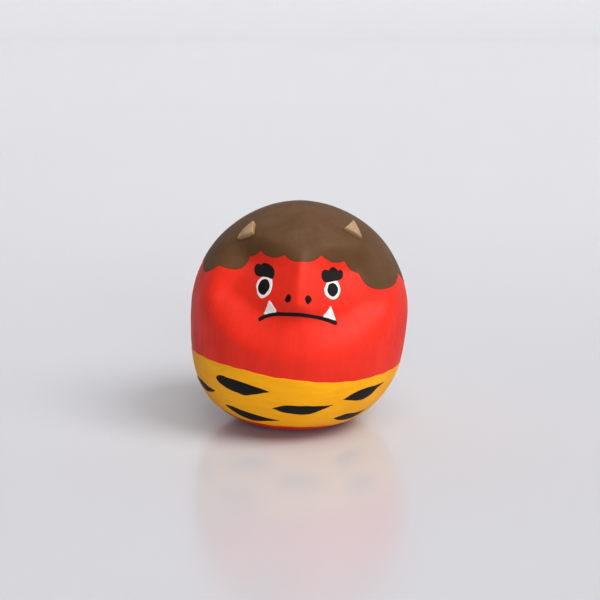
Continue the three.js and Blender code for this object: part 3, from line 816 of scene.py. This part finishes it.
# %% Brows, eyes and nostrils
BROW_COAT = (0.0, 0.15)
FEATURES = [
    ("eye_white_left", "tooth_white", FIRST_COAT, [
        (-29.3, 29.7), (-31.9, 27.2), (-32.2, 24), (-30.8, 21), (-28.5, 18.1), (-25.3, 16.7),
        (-22.2, 18.4), (-20.1, 21), (-19.6, 24.1), (-20.3, 27), (-21.6, 29.3), (-25.1, 30.1)]),
    ("eye_white_right", "tooth_white", FIRST_COAT, [
        (16, 29.9), (14.4, 27.5), (13.4, 25), (14.2, 22.5), (16.1, 20.8), (19.1, 19.7), (22, 20.3),
        (24.5, 22.5), (25.9, 25.2), (25.8, 28.2), (24.6, 31), (20.3, 31)]),
    ("brow_left", "ink_black", BROW_COAT, [
        (-39.1, 34.3), (-39.2, 36.4), (-37, 37.4), (-34.7, 37.1), (-32.7, 38.2), (-28.8, 38.3),
        (-24.9, 37.2), (-21.5, 34.7), (-20, 31.5), (-21.2, 28.9), (-24.6, 29.4), (-29.6, 29.7),
        (-35.4, 30.1), (-37.8, 32.1)]),
    ("brow_right", "ink_black", BROW_COAT, [
        (11.9, 33.8), (13.2, 36.4), (15.8, 37.6), (18.4, 37.4), (19.9, 38.8), (22.5, 39.4),
        (25, 38.7), (26.4, 37.7), (28.9, 38.2), (30.8, 37.1), (30.4, 34.6), (28.4, 32.5),
        (24.9, 31.6), (20.3, 30.3), (16.1, 29.6), (13.3, 30.3)]),
    ("pupil_left", "ink_black", SECOND_COAT, [
        (-28.9, 27.7), (-26.9, 28.6), (-24.5, 28.3), (-22.5, 26.7), (-21.3, 24.1), (-22, 21.6),
        (-23.8, 19.3), (-26, 18.9), (-28.5, 20.2), (-30.2, 22.7), (-30.1, 25.8)]),
    ("pupil_right", "ink_black", SECOND_COAT, [
        (18.2, 29.2), (21, 29.7), (23.2, 28.5), (24.1, 26.1), (23.2, 23.8), (21.6, 22.2),
        (19.4, 21.3), (17.2, 22.3), (15.8, 24), (15.8, 26.3), (16.6, 28)]),
    ("nostril_left", "ink_black", FIRST_COAT, [
        (-7.5, 21), (-6.2, 19.8), (-6, 18.2), (-6.7, 16.8), (-8.1, 16.4), (-9.6, 17.3), (-9.3, 19),
        (-8.7, 20.4)]),
    ("nostril_right", "ink_black", FIRST_COAT, [
        (2.8, 21.2), (4.2, 20.7), (5.4, 19.1), (4.6, 17.5), (3.3, 16.3), (2.1, 17.3), (1.4, 18.8),
        (1.7, 20.2)]),
]
for i, (name, slot, coat, places) in enumerate(FEATURES):
    film(name + "_mark", through(places), coat, slot, name, seed=70 + i, tremor=0.025, gap=0.14)
print(len(FEATURES), "face marks")

# %% Mouth and fangs
MOUTH = [
    (-24.8, 4.2), (-21.5, 6.6), (-15.8, 8.9), (-8.2, 10), (0.1, 10.5), (7.7, 9.7), (14.9, 8.3),
    (22.2, 5.8),
]
MOUTH_WIDTH = 1.25
MOUTH_COAT = (0.0, 0.16)
FANGS = {
    "fang_left": [
        (-22.3, 7.9), (-21.7, 10.7), (-20.8, 13.2), (-20.3, 15.4), (-19.6, 16.3), (-17.9, 15.2),
        (-16, 13.2), (-14.4, 11.4), (-14.8, 9.7), (-18.4, 8.3)],
    "fang_right": [
        (13, 9.7), (14.8, 12.3), (16.3, 14.3), (17.5, 16), (18.7, 14.3), (20, 11.7), (21.2, 7.6),
        (17.2, 8.3)],
}
film("mouth_line_mark", stroke(MOUTH, MOUTH_WIDTH, 0.03), MOUTH_COAT, "ink_black", "mouth_line",
     seed=90, tremor=0.03, gap=0.14)
for i, (name, places) in enumerate(FANGS.items()):
    film(name + "_mark", through(places, steps=6), FIRST_COAT, "tooth_white", name,
         seed=94 + i, tremor=0.015, gap=0.12)
print("a mouth and", len(FANGS), "fangs")

# %% [markdown]
# ## The little horns
# Two stubby horns of thick paste lie on the hair, each rising from its root to a blunt tip. Cones would
# stand away from the head. These are films like the paint, but thick, with a ridge down the middle and a
# crest that grows toward the tip.

# %% The horns
HORN_COAT = (0.05, 0.2)
HORN_HEIGHT = 0.62
HORN_RIDGE = 0.45
HORN_TIP_RISE = 1.0
HORNS = {
    "horn_left": ([(-59.7, 43.4), (-45.2, 49.3)], (-54.3, 56.1)),
    "horn_right": ([(38.2, 58.9), (51.6, 50.6)], (57.3, 62.4)),
}


def softened(corners, cut):
    """A polygon with its corners cut back a little, so that paste can round them."""
    p = np.array(corners, float)
    after = np.roll(p, -1, 0)
    pairs = np.stack([p + (after - p) * cut, after + (p - after) * cut], 1)
    return pairs.reshape(-1, 2)


def horn_crest(root, tip):
    """How high a horn stands at each of its places, in millimetres: lowest at its root's two corners."""
    corners = np.array([*root, tip], float)
    to_weights = np.linalg.inv(np.concatenate([corners.T, np.ones((1, 3))]))

    def crest(place, distance):
        left, right, point = to_weights @ np.concatenate([place.T, np.ones((1, len(place)))])
        ridge = np.clip(1 - np.abs(left - right) / (left + right + 0.25), 0, 1)
        rise = HORN_RIDGE * ridge * np.clip(1 - point, 0, 1) + HORN_TIP_RISE * np.clip(point, 0, 1)
        height = HORN_HEIGHT + rise
        return height * rounded(distance, 0.26)

    return crest


for i, (name, (root, tip)) in enumerate(HORNS.items()):
    outline = softened(softened([*root, tip], 0.05), 0.25)
    film(name + "_paste", outline, HORN_COAT, "horn_tan", name, seed=101 + i, tremor=0.02, gap=0.12,
         grain=0.26, crest=horn_crest(root, tip))
print("2 horns")

# %% [markdown]
# ## How the finishes are made
# Every finish here is paint on paper, so the same few effects return in each: brush strokes, the skin of
# the paper below, the thin edge of a mark, pigment that drifts in the mix, and dust and handling. Each is a
# node group that gives out masks and colours, and each material mixes them in its own amounts. They work
# in millimetres on the doll itself, so the grain keeps its size on every piece.

# %% Small helpers for nodes
def put(tree, kind, feeds=None, **settings):
    """Adds a node with its options, and gives its inputs values or links."""
    node = tree.nodes.new(kind)
    for key, value in settings.items():
        setattr(node, key, value)
    for key, value in (feeds or {}).items():
        if isinstance(value, bpy.types.NodeSocket):
            tree.links.new(value, node.inputs[key])
        else:
            node.inputs[key].default_value = value
    return node


def math_of(tree, operation, *values, clamp=False):
    feeds = dict(enumerate(values))
    return put(tree, "ShaderNodeMath", feeds, operation=operation, use_clamp=clamp).outputs[0]


def spread(tree, value, low, high, to_low=0.0, to_high=1.0):
    """Maps a range of values onto another with a soft start and end."""
    feeds = {"Value": value, "From Min": low, "From Max": high, "To Min": to_low, "To Max": to_high}
    return put(tree, "ShaderNodeMapRange", feeds, interpolation_type="SMOOTHSTEP").outputs["Result"]


def blend_of(tree, share, first, second):
    """Two colours mixed by a share."""
    node = put(tree, "ShaderNodeMix", data_type="RGBA", clamp_factor=True)
    for index, value in ((0, share), (6, first), (7, second)):
        if isinstance(value, bpy.types.NodeSocket):
            tree.links.new(value, node.inputs[index])
        else:
            node.inputs[index].default_value = value
    return node.outputs[2]


def noise_of(tree, vector, scale, detail=3.0, rough=0.55, warp=0.0):
    feeds = {"Vector": vector, "Scale": scale, "Detail": detail, "Roughness": rough, "Distortion": warp}
    return put(tree, "ShaderNodeTexNoise", feeds, noise_dimensions="3D").outputs["Fac"]


def new_group(name, inputs, outputs):
    """An empty shader group with named inputs (name, kind, value) and outputs (name, kind)."""
    tree = bpy.data.node_groups.new(name, "ShaderNodeTree")
    for label, kind, value in inputs:
        socket = tree.interface.new_socket(label, in_out="INPUT", socket_type="NodeSocket" + kind)
        socket.default_value = value
    for label, kind in outputs:
        tree.interface.new_socket(label, in_out="OUTPUT", socket_type="NodeSocket" + kind)
    return tree, tree.nodes.new("NodeGroupInput").outputs, tree.nodes.new("NodeGroupOutput")


def millimetres(tree):
    """The place on the doll in millimetres."""
    place = put(tree, "ShaderNodeTexCoord").outputs["Object"]
    return put(tree, "ShaderNodeVectorMath", {0: place, "Scale": 1000.0}, operation="SCALE").outputs[0]


def use(tree, group, **values):
    """Places a group in a material with its own values."""
    node = tree.nodes.new("ShaderNodeGroup")
    node.node_tree = group
    for key, value in values.items():
        key = key.replace("_", " ")
        if isinstance(value, bpy.types.NodeSocket):
            tree.links.new(value, node.inputs[key])
        else:
            node.inputs[key].default_value = value
    return node.outputs


# %% [markdown]
# ### Brush strokes
# A flat brush leaves streaks that are long one way and narrow the other. Stretched noise does this well.
# On a round body the stretch has to follow the body round, so the sideways position is first scaled to
# sit on one cylinder. Near the crown that scaling is let go, or the streaks would pinch to a point.

# %% The brush stroke group
def brush_stroke_group():
    tree, given, result = new_group(
        "brush strokes", [("Around", "Float", 3.0), ("Up", "Float", 12.0), ("Seed", "Float", 0.0)],
        [("Streak", "Float"), ("Ridge", "Float")])
    place = millimetres(tree)
    bend = put(tree, "ShaderNodeTexNoise", {"Vector": place, "Scale": 0.07, "Detail": 1.0}).outputs["Color"]
    bend = put(tree, "ShaderNodeVectorMath", {0: bend, 1: (5.0, 5.0, 5.0), 2: (-2.5, -2.5, -2.5)},
               operation="MULTIPLY_ADD").outputs[0]
    place = put(tree, "ShaderNodeVectorMath", {0: place, 1: bend}, operation="ADD").outputs[0]
    x, y, z = put(tree, "ShaderNodeSeparateXYZ", {0: place}).outputs
    squares = math_of(tree, "ADD", math_of(tree, "MULTIPLY", x, x), math_of(tree, "MULTIPLY", y, y))
    reach = math_of(tree, "SQRT", squares)
    to_cylinder = math_of(tree, "DIVIDE", 38.0, math_of(tree, "ADD", reach, 6.0))
    across = math_of(tree, "DIVIDE", to_cylinder, given["Around"])
    sideways = math_of(tree, "MULTIPLY", x, across)
    depth = math_of(tree, "MULTIPLY", y, across)
    height = math_of(tree, "ADD", math_of(tree, "DIVIDE", z, given["Up"]), given["Seed"])
    at = put(tree, "ShaderNodeCombineXYZ", {0: sideways, 1: depth, 2: height}).outputs[0]
    broad = noise_of(tree, at, 1.0, 3.0, 0.5)
    bristles = noise_of(tree, at, 4.5, 2.0, 0.6)
    both = math_of(tree, "ADD", math_of(tree, "MULTIPLY", broad, 0.62),
                   math_of(tree, "MULTIPLY", bristles, 0.38))
    tree.links.new(spread(tree, both, 0.34, 0.66), result.inputs["Streak"])
    tree.links.new(spread(tree, bristles, 0.3, 0.7), result.inputs["Ridge"])
    return tree


STROKES = brush_stroke_group()

# %% [markdown]
# ### The skin of pasted paper
# Under the paint lies washi paper: long fibres at all angles, and a soft pebbling where glue dried. Fibres
# come from noise stretched along one direction and cut to thin ridges; three crossing layers look random
# enough. The pebbling is plain noise a little under a millimetre across.

# %% The paper group
FIBRES_PER_MM = 1.7
FIBRE_LAYERS = [  # how each layer of fibres is turned, and where its noise starts
    ((0.3, 0.9, 0.5), 3.0),
    ((1.2, -0.4, 1.9), 17.0),
    ((-0.8, 0.5, -1.1), 41.0),
]


def paper_group():
    tree, given, result = new_group(
        "paper skin", [("Pebble", "Float", 0.8), ("Fibre length", "Float", 3.0)],
        [("Pebbling", "Float"), ("Fibres", "Float")])
    place = millimetres(tree)
    pebbles = noise_of(tree, place, math_of(tree, "DIVIDE", 1.0, given["Pebble"]), 4.0, 0.6)
    layers = []
    for turn, offset in FIBRE_LAYERS:
        laid = put(tree, "ShaderNodeVectorRotate", {"Vector": place, "Rotation": turn},
                   rotation_type="EULER_XYZ")
        x, y, z = put(tree, "ShaderNodeSeparateXYZ", {0: laid.outputs[0]}).outputs
        along = math_of(tree, "ADD", math_of(tree, "DIVIDE", x, given["Fibre length"]), offset)
        across = math_of(tree, "MULTIPLY", y, FIBRES_PER_MM)
        through_it = math_of(tree, "MULTIPLY", z, FIBRES_PER_MM)
        at = put(tree, "ShaderNodeCombineXYZ", {0: along, 1: across, 2: through_it}).outputs[0]
        wave = noise_of(tree, at, 1.0, 1.0, 0.5, 0.6)
        off_ridge = math_of(tree, "ABSOLUTE", math_of(tree, "SUBTRACT", wave, 0.5))
        layers.append(spread(tree, off_ridge, 0.035, 0.0))
    fibres = math_of(tree, "MAXIMUM", math_of(tree, "MAXIMUM", *layers[:2]), layers[2])
    tree.links.new(pebbles, result.inputs["Pebbling"])
    tree.links.new(fibres, result.inputs["Fibres"])
    return tree


PAPER = paper_group()

# %% [markdown]
# ### Drifting pigment
# Hand-mixed paint is never one colour. It is richer where the brush let go of more of it, and thinner
# along the bristles. The group takes a thin and a full colour and lets broad clouds and the streaks
# choose between them.

# %% The pigment group
def pigment_group():
    tree, given, result = new_group(
        "drifting pigment",
        [("Thin", "Color", (0.5, 0.5, 0.5, 1)), ("Full", "Color", (0.8, 0.8, 0.8, 1)),
         ("Streak", "Float", 0.5), ("Cloud", "Float", 14.0), ("Streak share", "Float", 0.5)],
        [("Colour", "Color"), ("Body", "Float")])
    place = millimetres(tree)
    cloud_scale = math_of(tree, "DIVIDE", 1.0, given["Cloud"])
    clouds = spread(tree, noise_of(tree, place, cloud_scale, 4.0, 0.6, 0.4), 0.3, 0.7)
    specks = spread(tree, noise_of(tree, place, 3.2, 2.0, 0.6), 0.56, 0.74)
    pulled = math_of(tree, "MULTIPLY", given["Streak"], given["Streak share"])
    rest = math_of(tree, "MULTIPLY", clouds, math_of(tree, "SUBTRACT", 1.0, given["Streak share"]))
    body = math_of(tree, "ADD", pulled, rest)
    body = math_of(tree, "SUBTRACT", body, math_of(tree, "MULTIPLY", specks, 0.18), clamp=True)
    tree.links.new(blend_of(tree, body, given["Thin"], given["Full"]), result.inputs["Colour"])
    tree.links.new(body, result.inputs["Body"])
    return tree


PIGMENT = pigment_group()

# %% [markdown]
# ### The edge of a mark
# At its rim a film of paint is thin, and what lies under it shows a little. Each mesh carries its distance
# from the rim in millimetres, so the group only has to turn that into a mask, made ragged by noise.

# %% The edge group
def edge_group():
    tree, given, result = new_group("mark edge", [("Width", "Float", 0.25)], [("Edge", "Float")])
    rim = put(tree, "ShaderNodeAttribute", attribute_name="rim", attribute_type="GEOMETRY").outputs["Fac"]
    ragged = noise_of(tree, millimetres(tree), 2.6, 3.0, 0.6)
    share = math_of(tree, "ADD", math_of(tree, "MULTIPLY", ragged, 1.6), 0.1)
    reach = math_of(tree, "MULTIPLY", given["Width"], share)
    tree.links.new(spread(tree, math_of(tree, "DIVIDE", rim, reach), 1.0, 0.25), result.inputs["Edge"])
    return tree


EDGE = edge_group()

# %% [markdown]
# ### Dust and handling
# Dust settles on what faces up, and the shelf rubs and soils the foot. One group gives both masks, from
# the way the surface faces and its height above the shelf.

# %% The dust and handling group
def handling_group():
    tree, given, result = new_group(
        "dust and handling", [("Patch size", "Float", 6.0)], [("Dust", "Float"), ("Rubbed", "Float")])
    place = millimetres(tree)
    normal = put(tree, "ShaderNodeNewGeometry").outputs["Normal"]
    facing = put(tree, "ShaderNodeSeparateXYZ", {0: normal}).outputs["Z"]
    cloud = noise_of(tree, place, math_of(tree, "DIVIDE", 1.0, given["Patch size"]), 5.0, 0.65)
    dust = math_of(tree, "MULTIPLY", spread(tree, facing, 0.2, 1.0), spread(tree, cloud, 0.42, 0.72))
    height = put(tree, "ShaderNodeSeparateXYZ", {0: place}).outputs["Z"]
    foot = spread(tree, height, 3.2, 0.4)
    scuff = spread(tree, noise_of(tree, place, 0.9, 4.0, 0.7), 0.5, 0.62)
    tree.links.new(dust, result.inputs["Dust"])
    tree.links.new(math_of(tree, "MULTIPLY", foot, scuff), result.inputs["Rubbed"])
    return tree


HANDLING = handling_group()
print("shader groups:", [g.name for g in bpy.data.node_groups])

# %% [markdown]
# ## The paints
# The paints differ in pigment, in how they were brushed and in how dull they dried, so one function builds
# them all and takes those as its values. Colours are in linear light. What does not change over the
# surface, such as the specular level, is set on the shader itself.

# %% Build a paint
DUST_COLOUR = (0.62, 0.58, 0.53, 1)
SHELF_DIRT = (0.52, 0.40, 0.27, 1)
PAINT_RELIEF = 0.03  # millimetres
RIDGE_SHARE = 0.45
PEBBLE_SHARE = 0.9
FIBRE_SHARE = 0.35


def new_material(name):
    """A material with its node tree and its shader."""
    material = bpy.data.materials.new(name)
    material.use_nodes = True
    tree = material.node_tree
    return material, tree, tree.nodes["Principled BSDF"]


def paint(name, thin, full, under, around, up, seed, dull, dust, edge_width=0.25, streak_share=0.5,
          specular=0.2):
    """A brushed paint over the colour under it. dull is the roughness where it is thin and where full."""
    material, tree, shader = new_material(name)
    strokes = use(tree, STROKES, Around=around, Up=up, Seed=seed)
    paper = use(tree, PAPER, Pebble=0.8, Fibre_length=3.4)
    pigment = use(tree, PIGMENT, Thin=(*thin, 1), Full=(*full, 1), Streak=strokes["Streak"], Cloud=13.0,
                  Streak_share=streak_share)
    edge = use(tree, EDGE, Width=edge_width)["Edge"]
    worn = use(tree, HANDLING, Patch_size=5.0)
    colour = blend_of(tree, math_of(tree, "MULTIPLY", edge, 0.45), pigment["Colour"], (*under, 1))
    colour = blend_of(tree, math_of(tree, "MULTIPLY", worn["Dust"], dust), colour, DUST_COLOUR)
    colour = blend_of(tree, math_of(tree, "MULTIPLY", worn["Rubbed"], 0.55), colour, SHELF_DIRT)
    tree.links.new(colour, shader.inputs["Base Color"])
    rough = spread(tree, pigment["Body"], 0.1, 0.9, *dull)
    rough = math_of(tree, "ADD", rough, math_of(tree, "MULTIPLY", worn["Dust"], 0.12), clamp=True)
    tree.links.new(rough, shader.inputs["Roughness"])
    height = math_of(tree, "MULTIPLY", strokes["Ridge"], RIDGE_SHARE)
    height = math_of(tree, "ADD", height, math_of(tree, "MULTIPLY", paper["Pebbling"], PEBBLE_SHARE))
    height = math_of(tree, "ADD", height, math_of(tree, "MULTIPLY", paper["Fibres"], FIBRE_SHARE))
    bump = put(tree, "ShaderNodeBump", {"Height": height, "Strength": 0.55, "Distance": PAINT_RELIEF * MM})
    tree.links.new(bump.outputs[0], shader.inputs["Normal"])
    shader.inputs["Specular IOR Level"].default_value = specular
    return material, tree, shader, colour


HAIR_PAINT = paint(
    "brown hair paint", (0.090, 0.043, 0.018), (0.110, 0.052, 0.021), (0.17, 0.035, 0.02),
    around=9.0, up=2.2, seed=3.0, dull=(0.66, 0.54), dust=0.03, streak_share=0.35, specular=0.13)[0]
CLOTH_PAINT = paint(
    "yellow ochre paint", (0.86, 0.345, 0.004), (0.94, 0.435, 0.006), (0.62, 0.12, 0.012),
    around=11.0, up=1.6, seed=8.0, dull=(0.6, 0.5), dust=0.015, specular=0.13)[0]
BLACK_PAINT = paint(
    "black ink paint", (0.011, 0.008, 0.008), (0.005, 0.004, 0.005), (0.02, 0.014, 0.012),
    around=5.0, up=0.9, seed=14.0, dull=(0.62, 0.5), dust=0.008, edge_width=0.16, specular=0.12)[0]
WHITE_PAINT = paint(
    "shell white paint", (0.72, 0.67, 0.64), (0.82, 0.79, 0.77), (0.78, 0.36, 0.30),
    around=2.0, up=2.6, seed=21.0, dull=(0.6, 0.5), dust=0.02, edge_width=0.14)[0]
HORN_PAINT = paint(
    "horn tan paint", (0.30, 0.185, 0.10), (0.45, 0.295, 0.165), (0.20, 0.10, 0.05),
    around=2.4, up=1.4, seed=27.0, dull=(0.62, 0.5), dust=0.04, edge_width=0.4)[0]
print("five paints mixed")

# %% [markdown]
# ### Red on the outside, bare paper on the inside
# The shell is red only where a brush could reach. Its inner face and lips are bare buff paper with glue
# stains. A second material would need its own slot, so the mesh carries a mask instead, and the one
# material changes from paint to paper by it.

# %% The red body paint
PAPER_BUFF = (0.60, 0.49, 0.33, 1)
PAPER_STAINED = (0.43, 0.31, 0.18, 1)
PAPER_FIBRE = (0.72, 0.63, 0.47, 1)
RED_PAINT, tree, shader, red = paint(
    "red body paint", (0.65, 0.020, 0.009), (0.77, 0.026, 0.011), (0.5, 0.03, 0.02),
    around=4.5, up=22.0, seed=1.0, dull=(0.6, 0.47), dust=0.015, streak_share=0.45)
bare = put(tree, "ShaderNodeAttribute", attribute_name="bare", attribute_type="GEOMETRY").outputs["Fac"]
stain = spread(tree, noise_of(tree, millimetres(tree), 0.16, 5.0, 0.6, 0.8), 0.4, 0.65)
paper_colour = blend_of(tree, stain, PAPER_BUFF, PAPER_STAINED)
fibres = use(tree, PAPER, Pebble=0.5, Fibre_length=5.0)["Fibres"]
paper_colour = blend_of(tree, math_of(tree, "MULTIPLY", fibres, FIBRE_SHARE), paper_colour, PAPER_FIBRE)
tree.links.new(blend_of(tree, bare, red, paper_colour), shader.inputs["Base Color"])
print("red paint has", len(tree.nodes), "nodes")

# %% [markdown]
# ### Clay and paste
# The clay is dry and crumbly: a coarse bump, pale where it dried first. The paste dried to a translucent
# amber skin with bubbles in it, so it is smoother and has a thin coat.

# %% The inside materials
CLAY_DAMP = (0.25, 0.17, 0.105, 1)
CLAY_PALE = (0.47, 0.355, 0.235, 1)
CLAY_GRIT = (0.16, 0.11, 0.07, 1)
PASTE_AMBER = (0.52, 0.41, 0.24, 1)
PASTE_PALE = (0.74, 0.66, 0.48, 1)
PASTE_BUBBLE = (0.85, 0.80, 0.68, 1)


def cells_of(tree, vector, scale):
    """Distance from the middle of each of many small round cells."""
    feeds = {"Vector": vector, "Scale": scale, "Randomness": 1.0}
    return put(tree, "ShaderNodeTexVoronoi", feeds).outputs["Distance"]


def clay_material():
    material, tree, shader = new_material("dried clay")
    place = millimetres(tree)
    pits = cells_of(tree, place, 0.9)
    grit = noise_of(tree, place, 1.6, 6.0, 0.7)
    dry = spread(tree, noise_of(tree, place, 0.18, 4.0, 0.6), 0.38, 0.66)
    colour = blend_of(tree, dry, CLAY_DAMP, CLAY_PALE)
    colour = blend_of(tree, spread(tree, grit, 0.62, 0.75), colour, CLAY_GRIT)
    tree.links.new(colour, shader.inputs["Base Color"])
    tree.links.new(spread(tree, grit, 0.2, 0.8, 0.8, 0.98), shader.inputs["Roughness"])
    height = math_of(tree, "ADD", grit, math_of(tree, "MULTIPLY", spread(tree, pits, 0.0, 0.35), 0.5))
    bump = put(tree, "ShaderNodeBump", {"Height": height, "Strength": 0.8, "Distance": 0.35 * MM})
    tree.links.new(bump.outputs[0], shader.inputs["Normal"])
    shader.inputs["Specular IOR Level"].default_value = 0.3
    return material


def paste_material():
    material, tree, shader = new_material("dried rice paste")
    place = millimetres(tree)
    cloud = noise_of(tree, place, 0.5, 4.0, 0.6, 0.5)
    bubbles = cells_of(tree, place, 1.7)
    colour = blend_of(tree, spread(tree, cloud, 0.35, 0.65), PASTE_AMBER, PASTE_PALE)
    colour = blend_of(tree, spread(tree, bubbles, 0.16, 0.08), colour, PASTE_BUBBLE)
    tree.links.new(colour, shader.inputs["Base Color"])
    tree.links.new(spread(tree, cloud, 0.3, 0.7, 0.28, 0.5), shader.inputs["Roughness"])
    domes = math_of(tree, "MULTIPLY", spread(tree, bubbles, 0.2, 0.05), 0.4)
    height = math_of(tree, "SUBTRACT", cloud, domes)
    bump = put(tree, "ShaderNodeBump", {"Height": height, "Strength": 0.6, "Distance": 0.15 * MM})
    tree.links.new(bump.outputs[0], shader.inputs["Normal"])
    shader.inputs["Coat Weight"].default_value = 0.25
    shader.inputs["Coat Roughness"].default_value = 0.2
    return material


# %% Give each piece its finish
FINISHES = {
    "red_body": RED_PAINT,
    "hair_brown": HAIR_PAINT,
    "loincloth_yellow": CLOTH_PAINT,
    "ink_black": BLACK_PAINT,
    "tooth_white": WHITE_PAINT,
    "horn_tan": HORN_PAINT,
    "clay": clay_material(),
    "paste": paste_material(),
}
painted = [piece for piece in bpy.context.scene.objects
           if piece.type == "MESH" and "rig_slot" in piece and not piece.hide_render]
for piece in painted:
    piece.data.materials.clear()
    piece.data.materials.append(FINISHES[piece["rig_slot"]])
print(len(painted), "pieces finished")

# %% [markdown]
# ## The table, the light and the camera
# The doll stands on a pale, slightly glossy sheet that curves up behind it, so there is no horizon. Lamps
# close by would light the table unevenly, so four distant soft ones are used: a strong one from the right,
# a low one in front that reaches in under the brows, one high in front, and a faint one from the left. The
# low one is kept out of the gloss, or the sheet would mirror it. The room is only a pale backdrop for the
# camera and adds no light. The camera is a long lens half a metre away, looking down by 14 degrees.

# %% The table
TABLE_REACH = 7.0  # metres
BEND_START = 1.3
BEND_RADIUS = 0.7
WALL_TOP = 4.0


def table_sweep():
    """A level sheet that curves up into a wall well behind the doll."""
    profile = [(-TABLE_REACH, 0)]
    for t in np.linspace(0, math.pi / 2, 25):
        profile.append((BEND_START + BEND_RADIUS * math.sin(t), BEND_RADIUS * (1 - math.cos(t))))
    profile.append((BEND_START + BEND_RADIUS, WALL_TOP))
    points = [(side * TABLE_REACH, y, z) for y, z in profile for side in (-1, 1)]
    mesh = bpy.data.meshes.new("table_sweep")
    mesh.from_pydata(points, [], grid_quads(len(profile), 2).tolist())
    mesh.shade_smooth()
    table = bpy.data.objects.new("table_sweep", mesh)
    bpy.context.scene.collection.objects.link(table)
    material, tree, shader = new_material("pale table")
    place = put(tree, "ShaderNodeTexCoord").outputs["Object"]
    drift = noise_of(tree, place, 3.0, 2.0, 0.5)
    colour = blend_of(tree, drift, (0.542, 0.540, 0.561, 1), (0.556, 0.554, 0.575, 1))
    tree.links.new(colour, shader.inputs["Base Color"])
    tree.links.new(spread(tree, drift, 0.2, 0.8, 0.17, 0.2), shader.inputs["Roughness"])
    shader.inputs["Specular IOR Level"].default_value = 0.75
    mesh.materials.append(material)
    return table


table = table_sweep()
print("table", len(table.data.vertices), "points")


# %% The light
def soft_sun(name, around, up, spread_degrees, strength):
    """A distant soft lamp: around is degrees from the front to the right, up is degrees above the table."""
    lamp = bpy.data.lights.new(name, "SUN")
    lamp.angle = math.radians(spread_degrees)
    lamp.energy = strength
    shining = bpy.data.objects.new(name, lamp)
    turn, rise = math.radians(around), math.radians(up)
    place = Vector((math.sin(turn) * math.cos(rise), -math.cos(turn) * math.cos(rise), math.sin(rise)))
    shining.location = place
    shining.rotation_mode = "QUATERNION"
    shining.rotation_quaternion = (-place).to_track_quat("-Z", "Y")
    bpy.context.scene.collection.objects.link(shining)
    return shining


soft_sun("window_lamp", 62, 48, 36, 2.35)
low_lamp = soft_sun("front_lamp", 8, 13, 40, 1.75)
low_lamp.visible_glossy = False
soft_sun("high_front_lamp", 20, 66, 42, 1.1)
soft_sun("left_fill_lamp", -110, 64, 50, 0.3)
room = bpy.data.worlds.new("pale room")
bpy.context.scene.world = room
room.use_nodes = True
backdrop = room.node_tree.nodes["Background"]
backdrop.inputs["Color"].default_value = (0.70, 0.70, 0.72, 1)
backdrop.inputs["Strength"].default_value = 1.0
room.cycles_visibility.diffuse = False
room.cycles_visibility.glossy = False
bpy.context.scene.view_settings.view_transform = "Standard"
print("lamps and room set")

# %% The camera
VIEW_DOWN = math.radians(14)
DISTANCE = 0.5  # metres
FOCAL_LENGTH = 99.4
RAISED = 0.00238
ASIDE = 0.00015
lens = bpy.data.cameras.new("long_lens")
lens.lens = FOCAL_LENGTH
lens.clip_start = 0.02
lens.clip_end = 50
camera = bpy.data.objects.new("camera", lens)
camera.rotation_euler = (math.pi / 2 - VIEW_DOWN, 0, 0)
aim = Vector((CENTRE * MM).tolist())
up = Vector((0, math.sin(VIEW_DOWN), math.cos(VIEW_DOWN)))
back = Vector((0, -math.cos(VIEW_DOWN), math.sin(VIEW_DOWN)))
camera.location = aim + DISTANCE * back + up * RAISED
camera.location.x += ASIDE
bpy.context.scene.collection.objects.link(camera)
bpy.context.scene.camera = camera
print("camera at", [round(v, 3) for v in camera.location])
